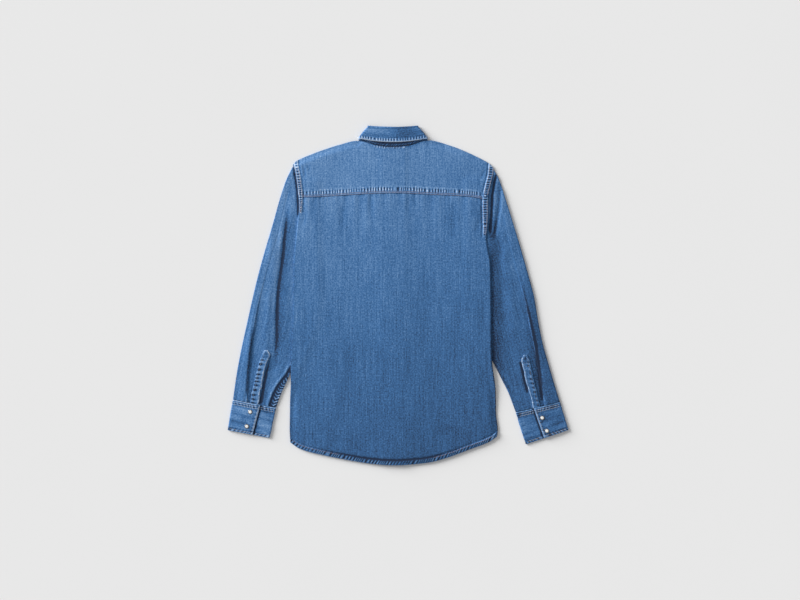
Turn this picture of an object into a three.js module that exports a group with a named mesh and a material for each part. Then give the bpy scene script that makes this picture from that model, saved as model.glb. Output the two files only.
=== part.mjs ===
// A man's denim shirt with snap fasteners, fastened and laid flat on its front, so its back shows.
// X runs across the shirt, Y from hem to collar, Z up from the surface it lies on; millimetres.
// Left and right are the wearer's: with the back up, the wearer's left lies at -X.
import * as THREE from "three";

// Cloth
const CLOTH = 1.3; // one layer of denim
const BAND = 1.5; // front bands and collar: two layers and a stiffener
const STAND = 1.4; // the collar stand
const CUFF = 2.0;
const SEAM = 0.3; // between pieces that are sewn together
const FELL = 0.8; // how much thicker a felled seam is
const FELL_WIDTH = 11.5;
const YOKE_BAND = 10.5; // the puckered edge of the yoke
const HEM_WIDTH = 10.5;
const HEM_THICK = 0.9;

// Layers, measured up from the surface
const SLEEVE_ROOM = 4.0; // the body passes over a tucked sleeve at this height
const SNAP_ROOM = 1.3; // the left band stands on its snap caps
const LEAF_ROOM = 1.8; // the fronts pass over the collar's leaves
const EDGE_LEVEL = 1.7; // the back's underside at its edges
const LOFT = 2.9; // the back lies this far above its own edge
const SPINE_LOFT = 0.9; // and a little more down its middle, over this half width
const SPINE_HALF = 60;
const RESTING = 0.15; // a layer lies this far above the next, beyond the seam's gap
const EDGE_ROUND = 18; // and rounds down to the edge over this width
const TUCK_MARGIN = 12; // the front stays up this far past a sleeve's inner edge
const TUCK_FADE = 45; // and comes down to the surface over this width
const ARM_FADE = 40; // and over this length, up along the armhole
const LEAVES = { middle: 735, halfWidth: 95, halfLength: 112, fade: 30 }; // what the collar's leaves lift
const LEFT_FADE = 25; // beside the bands the left front comes down over this width
const RIGHT_FADE = 35; // and the right front over this one
const FRONT_BAND_HALF = 17; // half the width of a front band
const NECK_HALF = 84; // half the neck opening, across the shoulders

// The body's sides, from the shoulder points down the armhole seams and then the side folds
const SIDES = [
  { y: 58, left: -241, right: 241 },
  { y: 85, left: -242.5, right: 246 },
  { y: 120, left: -242, right: 242 },
  { y: 155, left: -241.5, right: 241.5 },
  { y: 190, left: -240, right: 240 },
  { y: 244, left: -240, right: 232.5 },
  { y: 296, left: -237, right: 230.5 },
  { y: 390, left: -234, right: 230 },
  { y: 479, left: -233, right: 228 },
  { y: 508, left: -231, right: 222.5 },
  { y: 536, left: -228, right: 218.5 },
  { y: 566, left: -224.8, right: 221 },
  { y: 590, left: -222.5, right: 222.5 },
  { y: 613, left: -222.2, right: 222.3 },
  { y: 637, left: -223.8, right: 223.5 },
  { y: 660, left: -226.5, right: 228.5 },
  { y: 684, left: -230, right: 234.5 },
  { y: 710, left: -235.5, right: 237 },
];
// The curved hem
const HEM = [
  { x: -246, y: 60 },
  { x: -218, y: 41 },
  { x: -171, y: 28 },
  { x: -101, y: 14 },
  { x: -50, y: 6 },
  { x: 2, y: 2.5 },
  { x: 50, y: 5 },
  { x: 92, y: 10.5 },
  { x: 134, y: 22.5 },
  { x: 181, y: 40 },
  { x: 225, y: 57 },
  { x: 248, y: 73 },
];
// The shoulder folds, and the back neck seam between them
const SHOULDERS = [
  { x: -237, y: 706 },
  { x: -226, y: 717 },
  { x: -195, y: 731 },
  { x: -160, y: 744 },
  { x: -125, y: 755 },
  { x: -84, y: 764 },
  { x: -40, y: 753.5 },
  { x: 0, y: 750 },
  { x: 40, y: 753.5 },
  { x: 84, y: 765 },
  { x: 134, y: 753 },
  { x: 169, y: 739.5 },
  { x: 204, y: 723 },
  { x: 228, y: 709 },
  { x: 238, y: 697 },
];
// The yoke seam
const YOKE = [
  { x: -220, y: 631 },
  { x: -171, y: 632 },
  { x: -54, y: 639 },
  { x: 16, y: 640.5 },
  { x: 87, y: 637 },
  { x: 181, y: 632 },
  { x: 218, y: 625 },
];
// The sleeves, from armhole to cuff: their outer edge, and the inner edge tucked under the body.
// edge: how far in from the outer edge the cuff pleat's fold lies, as a share of the width.
// bend, turn and tuck: the pleat's radius, how far round it folds, and the length folded back.
const LEFT_SLEEVE = [
  { outX: -237, outY: 704, inX: -196, inY: 584, edge: 0.12, bend: 12, turn: 6, tuck: 2 },
  { outX: -251.5, outY: 672, inX: -196, inY: 545, edge: 0.12, bend: 12, turn: 6, tuck: 2 },
  { outX: -265, outY: 630, inX: -194, inY: 500, edge: 0.12, bend: 12, turn: 6, tuck: 2 },
  { outX: -280.5, outY: 573, inX: -190.5, inY: 448, edge: 0.12, bend: 12, turn: 6, tuck: 2 },
  { outX: -297, outY: 517, inX: -188.5, inY: 395, edge: 0.11, bend: 10, turn: 7, tuck: 2 },
  { outX: -313, outY: 460.5, inX: -195, inY: 343, edge: 0.1, bend: 8, turn: 10, tuck: 2 },
  { outX: -328.5, outY: 397, inX: -208, inY: 301, edge: 0.1, bend: 4, turn: 25, tuck: 2 },
  { outX: -340.5, outY: 343, inX: -223, inY: 261, edge: 0.12, bend: 1.6, turn: 70, tuck: 1.2 },
  { outX: -352, outY: 291.5, inX: -240, inY: 223, edge: 0.155, bend: 0.95, turn: 130, tuck: 1.2 },
  { outX: -362, outY: 242, inX: -251.5, inY: 196, edge: 0.205, bend: 0.85, turn: 180, tuck: 5 },
  { outX: -369, outY: 200, inX: -264, inY: 169, edge: 0.26, bend: 0.85, turn: 180, tuck: 8 },
  { outX: -375.1, outY: 156.35, inX: -275.2, inY: 137.55, edge: 0.31, bend: 0.85, turn: 180, tuck: 11 },
];
const RIGHT_SLEEVE = [
  { outX: 238, outY: 696, inX: 190, inY: 531, edge: 0.12, bend: 12, turn: 6, tuck: 2 },
  { outX: 250, outY: 672, inX: 190, inY: 490, edge: 0.12, bend: 12, turn: 6, tuck: 2 },
  { outX: 263.5, outY: 630, inX: 188.5, inY: 448, edge: 0.12, bend: 12, turn: 6, tuck: 2 },
  { outX: 281, outY: 573, inX: 186, inY: 405, edge: 0.13, bend: 10, turn: 7, tuck: 2 },
  { outX: 298, outY: 517, inX: 184.5, inY: 368, edge: 0.14, bend: 8, turn: 10, tuck: 2 },
  { outX: 315, outY: 458, inX: 190, inY: 338, edge: 0.14, bend: 5, turn: 18, tuck: 2 },
  { outX: 331, outY: 397, inX: 204.5, inY: 305.5, edge: 0.14, bend: 2.6, turn: 45, tuck: 1.5 },
  { outX: 340, outY: 343, inX: 218.5, inY: 275, edge: 0.15, bend: 1.4, turn: 80, tuck: 1.2 },
  { outX: 350.5, outY: 291, inX: 236, inY: 244, edge: 0.165, bend: 0.95, turn: 130, tuck: 1.2 },
  { outX: 364, outY: 242, inX: 256, inY: 204, edge: 0.21, bend: 0.85, turn: 180, tuck: 5 },
  { outX: 377, outY: 197, inX: 271.5, inY: 173, edge: 0.27, bend: 0.85, turn: 180, tuck: 8 },
  { outX: 391.4, outY: 150.85, inX: 288.9, inY: 126.85, edge: 0.33, bend: 0.85, turn: 180, tuck: 11 },
];
// Soft troughs along the sleeves: depth and half width, and the ridge of cloth beside the trough
const SLEEVE_TROUGHS = [
  { x1: -251, y1: 640, x2: -259, y2: 500, depth: 0.9, half: 7, ridge: 1.6 },
  { x1: -259, y1: 500, x2: -270, y2: 390, depth: 1.1, half: 6, ridge: 2.2 },
  { x1: -270, y1: 390, x2: -281, y2: 240, depth: 1.1, half: 7, ridge: 0.9 },
  { x1: 245, y1: 640, x2: 250, y2: 500, depth: 1.0, half: 8, ridge: 1.6 },
  { x1: 250, y1: 500, x2: 262, y2: 330, depth: 0.9, half: 11, ridge: 1.2 },
];
const SLEEVE_BED = 3.4; // middle of the upper layer, where nothing raises or lowers it
const SLEEVE_TUCKED = 2.85; // and where the body lies over it
const SLEEVE_LOWEST = 2.35;
const PLEAT_BED = 2.7; // and beside the cuff pleat
const SLEEVE_EDGE_TOP = 4.2; // the highest that a sleeve's outer edge is
const ARMHOLE_END = { left: 590, right: 538 }; // the armhole seams show down to here
const ARMHOLE_UNDER = 665; // below this the sleeves lie under the fronts
const HIDING = { above: 72, over: 60 }; // a sleeve's first row goes under the body here, up from that end

// The sleeve plackets: their two edges, from the pointed top to the cuff
const LEFT_PLACKET = [
  { y: 273, left: -300, right: -297 },
  { y: 262, left: -306.5, right: -289.5 },
  { y: 245, left: -312.5, right: -295 },
  { y: 219, left: -318.5, right: -303.5 },
  { y: 195, left: -323, right: -308.5 },
  { y: 172, left: -329, right: -313 },
  { y: 145, left: -333, right: -317.5 },
];
const RIGHT_PLACKET = [
  { y: 262, left: 309, right: 312 },
  { y: 250, left: 301.5, right: 319.5 },
  { y: 225, left: 307, right: 325 },
  { y: 197, left: 313, right: 331 },
  { y: 174, left: 319.5, right: 337 },
  { y: 153, left: 325.5, right: 343 },
  { y: 136, left: 329, right: 346 },
];
const PLACKET_THICK = 1.5;

// The cuffs: outer and inner end of their upper and lower edges, and the place of the lapped end
const LEFT_CUFF = [
  { outX: -375.2, outY: 156, inX: -275.3, inY: 137.2, lap: 0.64 },
  { outX: -387.5, outY: 85, inX: -291, inY: 67, lap: 0.6 },
];
const RIGHT_CUFF = [
  { outX: 391.5, outY: 150.5, inX: 289, inY: 126.5, lap: 0.595 },
  { outX: 411, outY: 85, inX: 312.5, inY: 52, lap: 0.57 },
];
const CUFF_LAP = 28; // how far one end of the cuff lies over the other
const CUFF_EDGE_TOP = 4.4; // the level of the upper layer at the cuff's outer edge

// The collar
const NECK_DROP = 84; // from the neck points down to the front neck seam
const ROLL_HALF = 59.5; // half width at the roll, and at the lower edge
const FALL_HALF = 82;
const SPREAD = 0.82; // the fall widens quickly below the roll
const ROLL_TOP = 800.5;
const FALL_EDGE = 758; // the lower edge at the centre back, and at the sides
const FALL_EDGE_SIDE = 769;
const ROLL_FRONT = 722; // the roll at the centre front
const LEAF_END = 10; // each leaf ends this far from the centre front
const LEAF_POINT = { x: 46, y: 652 };
const ROLL_OVER = 9; // the fall is sewn on this far below the roll
const STAND_LEVEL = { back: 6.3, front: 2.55 }; // middle of the stand's wall
const FALL_LEVEL = { back: 8.2, front: 0.65 };

// Snaps
const SNAP_RADIUS = 5.7;
const SNAP_PEARL = 4.3;
const SNAP_HEIGHT = 1.9;
const FRONT_SNAP_HEIGHT = 1.0;
const FRONT_SNAP_TOP = 610;
const FRONT_SNAP_STEP = 95;
const FRONT_SNAPS = 6;
const NECK_SNAP = 694;
const CUFF_SNAPS = [
  { name: "snap_cuff_left_1", x: -335, y: 128 },
  { name: "snap_cuff_left_2", x: -343, y: 94 },
  { name: "snap_cuff_right_1", x: 350, y: 114 },
  { name: "snap_cuff_right_2", x: 361, y: 83.5 },
];

const denim = { color: 0x4b7db4, roughness: 0.85, metalness: 0 };
const denimWorn = { color: 0x6f9bc9, roughness: 0.85, metalness: 0 };
const pearl = { color: 0xe6e7e4, roughness: 0.25, metalness: 0 };
const nickel = { color: 0xb9bcc0, roughness: 0.3, metalness: 1 };

const clamp = (v, low, high) => Math.min(Math.max(v, low), high);
const mix = (a, b, t) => a + (b - a) * t;
const rise = (t) => {
  const s = clamp(t, 0, 1);
  return s * s * (3 - 2 * s);
};
const bell = (t) => Math.exp(-t * t);
const softMax = (...v) => Math.pow(v.reduce((sum, a) => sum + Math.pow(Math.max(a, 0), 10), 0), 0.1);

// A smooth curve through a table's rows: one column as a function of another that grows down the table
function curve(rows, from, to) {
  const slope = (i) => {
    const a = rows[Math.max(i - 1, 0)];
    const b = rows[Math.min(i + 1, rows.length - 1)];
    return (b[to] - a[to]) / (b[from] - a[from]);
  };
  return (at) => {
    let i = 0;
    while (i < rows.length - 2 && at > rows[i + 1][from]) i++;
    const width = rows[i + 1][from] - rows[i][from];
    const t = clamp((at - rows[i][from]) / width, 0, 1);
    const t2 = t * t;
    const t3 = t2 * t;
    return (
      (2 * t3 - 3 * t2 + 1) * rows[i][to] +
      (3 * t2 - 2 * t3) * rows[i + 1][to] +
      width * ((t3 - 2 * t2 + t) * slope(i) + (t3 - t2) * slope(i + 1))
    );
  };
}

const sideLeft = curve(SIDES, "y", "left");
const sideRight = curve(SIDES, "y", "right");
const hem = curve(HEM, "x", "y");
const shoulder = curve(SHOULDERS, "x", "y");
const yokeSeam = curve(YOKE, "x", "y");
const fromTheHem = [LEFT_SLEEVE, RIGHT_SLEEVE].map((rows) => [...rows].reverse());
const tuckLeft = curve(fromTheHem[0], "inY", "inX");
const tuckRight = curve(fromTheHem[1], "inY", "inX");

// The front neck seam
const frontNeck = (x) => shoulder(NECK_HALF) - NECK_DROP * (1 - Math.pow(Math.abs(x) / NECK_HALF, 2.4));
const frontTop = (x) => (Math.abs(x) < NECK_HALF ? frontNeck(x) : shoulder(x));

// How high the fronts are lifted by what lies under them: the sleeves, the collar's leaves, the bands
function overSleeve(x, y) {
  const inside = Math.min(x - tuckLeft(y), tuckRight(y) - x);
  const belowArm = 1 - rise((y - ARMHOLE_UNDER) / ARM_FADE);
  return SLEEVE_ROOM * (1 - rise((inside - TUCK_MARGIN) / TUCK_FADE)) * belowArm;
}
function overLeaf(x, y) {
  const distance = Math.hypot(x / LEAVES.halfWidth, (y - LEAVES.middle) / LEAVES.halfLength);
  return LEAF_ROOM * (1 - rise(((distance - 1) * LEAVES.halfWidth) / LEAVES.fade));
}
const beside = (x, width) => 1 - rise((Math.abs(x) - FRONT_BAND_HALF) / width);
const leftUnder = (x, y) => softMax(overSleeve(x, y), overLeaf(x, y), SNAP_ROOM * beside(x, LEFT_FADE));
const rightBandUnder = (x, y) => leftUnder(Math.min(x, 0), y) + BAND + SEAM;
const rightUnder = (x, y) =>
  softMax(overSleeve(x, y), overLeaf(x, y), (SNAP_ROOM + BAND + SEAM) * beside(x, RIGHT_FADE));
const hemFold = (x, y) => HEM_THICK * (1 - rise((y - hem(x) - HEM_WIDTH) / 1.5 + 1));
const frontCloth = (x, y) => CLOTH + hemFold(x, y);
function topOfFront(x, y) {
  const middle = (rightBandUnder(0, y) + BAND) * beside(Math.abs(x) - 8, RIGHT_FADE);
  return Math.max(middle, (x < 0 ? leftUnder(x, y) : rightUnder(x, y)) + frontCloth(x, y));
}

// Soft creases that hang from the yoke seam, and the fullness of the back below it
const BACK_CREASES = [
  { x: -190, top: 622, bottom: 588, depth: 0.7, half: 6 },
  { x: -118, top: 610, bottom: 566, depth: 0.6, half: 7 },
  { x: -52, top: 632, bottom: 596, depth: 0.6, half: 6 },
  { x: 36, top: 630, bottom: 590, depth: 0.5, half: 7 },
  { x: 142, top: 618, bottom: 540, depth: 0.7, half: 9 },
  { x: 188, top: 620, bottom: 586, depth: 0.7, half: 6 },
];
function backCrease(x, y) {
  let sum = 0;
  for (const c of BACK_CREASES) {
    const along = rise((c.top + 12 - y) / 24) * rise((y - c.bottom + 20) / 40);
    sum += c.depth * along * bell((x - c.x) / c.half);
  }
  return sum;
}
const BACK_WAVE = { height: 0.35, length: 170, lean: 0.12 };
const backWave = (x, y) =>
  BACK_WAVE.height * Math.sin((2 * Math.PI * (x + BACK_WAVE.lean * y)) / BACK_WAVE.length);

// The underside of the back and yoke
function backUnder(x, y) {
  const side = Math.min(x - sideLeft(y), sideRight(y) - x);
  const top = Math.abs(x) < NECK_HALF ? NECK_HALF - Math.abs(x) + shoulder(x) - y : shoulder(x) - y;
  const bottom = y - hem(x) + 6;
  const room = rise(Math.min(side, top, bottom) / EDGE_ROUND);
  const full = LOFT + SPINE_LOFT * bell(x / SPINE_HALF) + backWave(x, y);
  return softMax(topOfFront(x, y) + SEAM + RESTING, EDGE_LEVEL + full * room - backCrease(x, y));
}

// A closed wall of cloth between an outer and an inner grid of points; loops: each row closes on itself
function wall(outer, inner, loops) {
  const rows = outer.length;
  const columns = outer[0].length;
  const points = [...outer.flat(), ...inner.flat()];
  const faces = [];
  const at = (layer, i, j) => layer * rows * columns + i * columns + (j % columns);
  const quad = (a, b, c, d) => faces.push(a, b, c, a, c, d);
  const across = loops ? columns : columns - 1;
  for (let i = 0; i < rows - 1; i++) {
    for (let j = 0; j < across; j++) {
      quad(at(0, i, j), at(0, i, j + 1), at(0, i + 1, j + 1), at(0, i + 1, j));
      quad(at(1, i, j), at(1, i + 1, j), at(1, i + 1, j + 1), at(1, i, j + 1));
    }
  }
  for (let j = 0; j < across; j++) {
    const last = rows - 1;
    quad(at(0, 0, j), at(1, 0, j), at(1, 0, j + 1), at(0, 0, j + 1));
    quad(at(0, last, j), at(0, last, j + 1), at(1, last, j + 1), at(1, last, j));
  }
  for (let i = 0; i < rows - 1 && !loops; i++) {
    const last = columns - 1;
    quad(at(0, i, 0), at(0, i + 1, 0), at(1, i + 1, 0), at(1, i, 0));
    quad(at(0, i, last), at(1, i, last), at(1, i + 1, last), at(0, i + 1, last));
  }
  return solid(points, faces);
}

// A geometry from points and faces, turned so that its faces point out
function solid(points, faces) {
  let volume = 0;
  for (let i = 0; i < faces.length; i += 3) {
    const [a, b, c] = [points[faces[i]], points[faces[i + 1]], points[faces[i + 2]]];
    volume +=
      a[0] * (b[1] * c[2] - b[2] * c[1]) +
      a[1] * (b[2] * c[0] - b[0] * c[2]) +
      a[2] * (b[0] * c[1] - b[1] * c[0]);
  }
  if (volume < 0) faces.reverse();
  const geometry = new THREE.BufferGeometry();
  geometry.setAttribute("position", new THREE.Float32BufferAttribute(points.flat(), 3));
  geometry.setIndex(faces);
  geometry.computeVertexNormals();
  return geometry;
}

// Distances along a stretch: some close to its start, some close to its end, the rest evenly between
function spaced(length, near, count, far) {
  const start = near[near.length - 1];
  const end = length - far[0];
  const between = [];
  for (let i = 1; i < count; i++) between.push(mix(start, end, i / count));
  return [...near, ...between, ...far.map((d) => length - d)];
}

// A flat panel between two sides and two ends, with its underside and its thickness
function panel(shape) {
  const { left, right, bottom, top, under, thick, nearSide, across, farSide, nearEnd, along, farEnd } = shape;
  const rows = nearEnd.length + along - 1 + farEnd.length;
  const columns = nearSide.length + across - 1 + farSide.length;
  const upper = [];
  const lower = [];
  for (let i = 0; i < rows; i++) {
    upper.push([]);
    lower.push([]);
    for (let j = 0; j < columns; j++) {
      let x = mix(left(400), right(400), j / (columns - 1));
      let y = 0;
      for (let pass = 0; pass < 4; pass++) {
        y = bottom(x) + spaced(top(x) - bottom(x), nearEnd, along, farEnd)[i];
        x = left(y) + spaced(right(y) - left(y), nearSide, across, farSide)[j];
      }
      const z = under(x, y);
      upper[i].push([x, y, z + thick(x, y)]);
      lower[i].push([x, y, z]);
    }
  }
  return wall(upper, lower, false);
}

const fellEdge = [0, 3, FELL_WIDTH, FELL_WIDTH + 2];
const fellEdgeFar = [...fellEdge].reverse();

// Thicker where the armhole seam is felled
function armholeFell(x, y) {
  const fromLeft = x - sideLeft(y);
  const fromRight = sideRight(y) - x;
  const onLeft = (1 - rise((fromLeft - FELL_WIDTH) / 2)) * rise((y - ARMHOLE_END.left + 6) / 12);
  const onRight = (1 - rise((fromRight - FELL_WIDTH) / 2)) * rise((y - ARMHOLE_END.right + 6) / 12);
  return FELL * Math.max(onLeft, onRight);
}

function backPanel() {
  return panel({
    left: sideLeft,
    right: sideRight,
    bottom: hem,
    top: (x) => yokeSeam(x) - SEAM,
    under: backUnder,
    thick: (x, y) => CLOTH + hemFold(x, y) + armholeFell(x, y),
    nearSide: fellEdge,
    across: 20,
    farSide: fellEdgeFar,
    nearEnd: [0, HEM_WIDTH - 1.5, HEM_WIDTH],
    along: 18,
    farEnd: [8, 0],
  });
}

function backYoke() {
  const band = (x, y) => FELL * (1 - rise((y - yokeSeam(x) - YOKE_BAND) / 2 + 1));
  return panel({
    left: sideLeft,
    right: sideRight,
    bottom: yokeSeam,
    top: shoulder,
    under: backUnder,
    thick: (x, y) => CLOTH + Math.max(band(x, y), armholeFell(x, y)),
    nearSide: fellEdge,
    across: 20,
    farSide: fellEdgeFar,
    nearEnd: [0, YOKE_BAND - 2, YOKE_BAND],
    along: 4,
    farEnd: [12, 5, 0],
  });
}

function front(left, right, under) {
  return panel({
    left,
    right,
    bottom: hem,
    top: frontTop,
    under,
    thick: frontCloth,
    nearSide: [0],
    across: 12,
    farSide: [0],
    nearEnd: [0, HEM_WIDTH - 1.5, HEM_WIDTH],
    along: 11,
    farEnd: [110, 88, 66, 44, 22, 0],
  });
}

function frontBand(under) {
  return panel({
    left: () => -FRONT_BAND_HALF,
    right: () => FRONT_BAND_HALF,
    bottom: hem,
    top: () => frontNeck(0) - SEAM,
    under,
    thick: () => BAND,
    nearSide: [0],
    across: 2,
    farSide: [0],
    nearEnd: [0],
    along: 20,
    farEnd: [0],
  });
}

// A row of a table between two of its rows, smoothly
function between(rows, t) {
  const place = rows.map((row, index) => ({ ...row, index }));
  const keys = Object.keys(rows[0]);
  return Object.fromEntries(keys.map((key) => [key, curve(place, "index", key)(t)]));
}

// Each side of a path moved out by half a wall
function bothSides(path, closed, half) {
  const n = path.length;
  const outer = [];
  const inner = [];
  for (let i = 0; i < n; i++) {
    const before = closed ? path[(i + n - 1) % n] : path[Math.max(i - 1, 0)];
    const after = closed ? path[(i + 1) % n] : path[Math.min(i + 1, n - 1)];
    const inDirection = new THREE.Vector2(path[i][0] - before[0], path[i][1] - before[1]);
    const outDirection = new THREE.Vector2(after[0] - path[i][0], after[1] - path[i][1]);
    if (inDirection.length() < 1e-9) inDirection.copy(outDirection);
    if (outDirection.length() < 1e-9) outDirection.copy(inDirection);
    const along = inDirection.normalize().add(outDirection.normalize()).normalize();
    outer.push([path[i][0] - along.y * half, path[i][1] + along.x * half]);
    inner.push([path[i][0] + along.y * half, path[i][1] - along.x * half]);
  }
  return [outer, inner];
}

// The middle of a sleeve's upper layer at a place
function sleeveLevel(x, y) {
  const outside = Math.max(sideLeft(y) - x, x - sideRight(y));
  let z = mix(SLEEVE_TUCKED, SLEEVE_BED, rise((outside - 4) / 16));
  const free = rise((outside - 4) / 8);
  for (const fold of SLEEVE_TROUGHS) {
    if (fold.x1 * x < 0) continue;
    const [dx, dy] = [fold.x2 - fold.x1, fold.y2 - fold.y1];
    const t = ((x - fold.x1) * dx + (y - fold.y1) * dy) / (dx * dx + dy * dy);
    const past = Math.max(-t, t - 1, 0) * Math.hypot(dx, dy);
    const out = (Math.abs(x) - Math.abs(mix(fold.x1, fold.x2, clamp(t, 0, 1)))) / fold.half;
    z += free * bell(past / 30) * (fold.ridge * bell(out - 1.9) - fold.depth * bell(out));
  }
  return Math.max(z, outside > 0 ? SLEEVE_LOWEST : SLEEVE_TUCKED);
}

// Half a circle of points from one level to another, bulging out by the radius
function turnPoints(x, from, to, out, steps) {
  const radius = Math.abs(to - from) / 2;
  const points = [];
  for (let k = 1; k < steps; k++) {
    const angle = (Math.PI * k) / steps;
    points.push([x + out * radius * Math.sin(angle), mix(from, to, (1 - Math.cos(angle)) / 2)]);
  }
  return points;
}

// The pleat: down from the outer strip's edge, back under it, and on to the lower level
function pleatPoints(row, steps) {
  const turn = THREE.MathUtils.degToRad(row.turn);
  const points = [[0, 0]];
  let [x, z, heading] = [0, 0, 0];
  const walk = (length) => {
    x += length * Math.cos(heading);
    z -= length * Math.sin(heading);
    points.push([x, z]);
  };
  const bendStep = 2 * row.bend * Math.sin(turn / steps / 2);
  for (const way of [1, -1]) {
    for (let k = 0; k < steps; k++) {
      heading += (way * turn) / steps / 2;
      walk(bendStep);
      heading += (way * turn) / steps / 2;
    }
    if (way === 1) walk(row.tuck);
  }
  return points;
}

const ARMHOLE_REACH = 3; // the first rows of a sleeve follow the curve of the armhole
const BELOW_STEPS = 8;
const ABOVE_STEPS = 10;
const STRIP_STEPS = 3;
const TURN_STEPS = 3;
const PLEAT_STEPS = 4;

// One section of a sleeve, as points of the wall's middle: across from the outer edge, and up
function sleeveSection(row, place) {
  const length = Math.hypot(row.inX - row.outX, row.inY - row.outY);
  const low = CLOTH / 2;
  const levelAt = (a) => sleeveLevel(...place(clamp(a / length, 0, 1)));
  const pleat = pleatPoints(row, PLEAT_STEPS);
  const [backX, drop] = [pleat.at(-1)[0], -pleat.at(-1)[1]];
  const edge = row.edge * length;
  const lower = mix(levelAt(edge + backX), PLEAT_BED, rise(row.turn / 90));
  const upper = lower + drop;
  const innerLevel = SLEEVE_TUCKED;
  const innerTurn = (innerLevel - low) / 2;
  const outerTop = Math.min(upper, SLEEVE_EDGE_TOP);
  const outerTurn = (outerTop - low) / 2;
  const path = [];
  for (let k = 0; k <= BELOW_STEPS; k++) {
    path.push([mix(outerTurn, length - innerTurn, k / BELOW_STEPS), low]);
  }
  path.push(...turnPoints(length - innerTurn, low, innerLevel, 1, TURN_STEPS));
  for (let k = 0; k < ABOVE_STEPS; k++) {
    const share = k / ABOVE_STEPS;
    const a = mix(length - innerTurn, edge + backX, share);
    const level = mix(levelAt(a), lower, rise(share * 4 - 3));
    path.push([a, mix(innerLevel, level, rise(share * 3))]);
  }
  for (const [dx, dz] of pleat.reverse()) path.push([edge + dx, upper + dz]);
  for (let k = 1; k <= STRIP_STEPS; k++) {
    const share = k / STRIP_STEPS;
    path.push([mix(edge, outerTurn, share), mix(upper, outerTop, rise(share * 1.4 - 0.4))]);
  }
  path.push(...turnPoints(outerTurn, outerTop, low, -1, TURN_STEPS));
  return path;
}

function sleeve(rows, side, ringCount) {
  const seamX = side < 0 ? sideLeft : sideRight;
  const seamEnd = side < 0 ? ARMHOLE_END.left : ARMHOLE_END.right;
  const first = rows[0];
  const outer = [];
  const inner = [];
  for (let i = 0; i < ringCount; i++) {
    const t = ((rows.length - 1) * i) / (ringCount - 1);
    const row = between(rows, t);
    const follow = Math.pow(clamp(1 - t / ARMHOLE_REACH, 0, 1), 1.5);
    const place = (share) => {
      const y0 = mix(first.outY, first.inY, share);
      const hidden = rise((seamEnd + HIDING.above - y0) / HIDING.over);
      const curved = mix(seamX(y0) + side * SEAM * 2, mix(first.outX, first.inX, share), hidden);
      const bow = (curved - mix(first.outX, first.inX, share)) * follow;
      return [mix(row.outX, row.inX, share) + bow, mix(row.outY, row.inY, share)];
    };
    const length = Math.hypot(row.inX - row.outX, row.inY - row.outY);
    const [over, within] = bothSides(sleeveSection(row, place), true, CLOTH / 2);
    const put = ([a, z]) => {
      const [x, y] = place(a / length);
      return [x, y, z];
    };
    outer.push(over.map(put));
    inner.push(within.map(put));
  }
  return wall(outer, inner, true);
}

// A placket ends at the cuff's upper edge
function sleevePlacket(rows, cuffRows) {
  const ordered = [...rows].reverse();
  const left = curve(ordered, "y", "left");
  const right = curve(ordered, "y", "right");
  const upper = [];
  const lower = [];
  const steps = 10;
  const { outX, outY, inX, inY } = cuffRows[0];
  const end = (x) => mix(outY, inY, (x - outX) / (inX - outX)) + 1.5 * SEAM;
  for (let i = 0; i <= steps; i++) {
    upper.push([]);
    lower.push([]);
    for (let j = 0; j <= 2; j++) {
      let x = mix(ordered[0].left, ordered[0].right, j / 2);
      let y = 0;
      for (let pass = 0; pass < 3; pass++) {
        y = mix(end(x), rows[0].y, i / steps);
        x = mix(left(y), right(y), j / 2);
      }
      const z = sleeveLevel(x, y) + CLOTH / 2 + SEAM + RESTING + 0.1;
      upper[i].push([x, y, z + PLACKET_THICK]);
      lower[i].push([x, y, z]);
    }
  }
  return wall(upper, lower, false);
}

// A cuff's section: from the lapped end over to the outer edge, underneath, and back over the inner edge
function cuffSection(row) {
  const length = Math.hypot(row.inX - row.outX, row.inY - row.outY);
  const low = CUFF / 2;
  const middle = low + CUFF + SEAM;
  const high = middle + CUFF + SEAM;
  const lap = row.lap * length;
  const outerTurn = (CUFF_EDGE_TOP - low) / 2;
  const innerTurn = (middle - low) / 2;
  const path = [];
  for (const share of [0, 0.33, 0.67, 1]) path.push([lap - share * (CUFF_LAP + 3), high]);
  const slopeStart = lap - CUFF_LAP - 3;
  for (const share of [0.35, 0.7, 1]) {
    path.push([mix(slopeStart, outerTurn, share), mix(high, CUFF_EDGE_TOP, rise(share))]);
  }
  path.push(...turnPoints(outerTurn, CUFF_EDGE_TOP, low, -1, 5));
  for (let k = 0; k <= 4; k++) path.push([mix(outerTurn, length - innerTurn, k / 4), low]);
  path.push(...turnPoints(length - innerTurn, low, middle, 1, 4));
  for (let k = 0; k <= 4; k++) path.push([mix(length - innerTurn, lap - CUFF_LAP, k / 4), middle]);
  return path;
}

function cuff(rows) {
  const outer = [];
  const inner = [];
  const steps = 3;
  for (let i = 0; i <= steps; i++) {
    const share = i / steps;
    const row = between(rows, share);
    const length = Math.hypot(row.inX - row.outX, row.inY - row.outY);
    const put = ([a, z]) => [mix(row.outX, row.inX, a / length), mix(row.outY, row.inY, a / length), z];
    const [over, within] = bothSides(cuffSection(row), false, CUFF / 2);
    outer.push(over.map(put));
    inner.push(within.map(put));
  }
  return wall(outer, inner, false);
}

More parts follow.
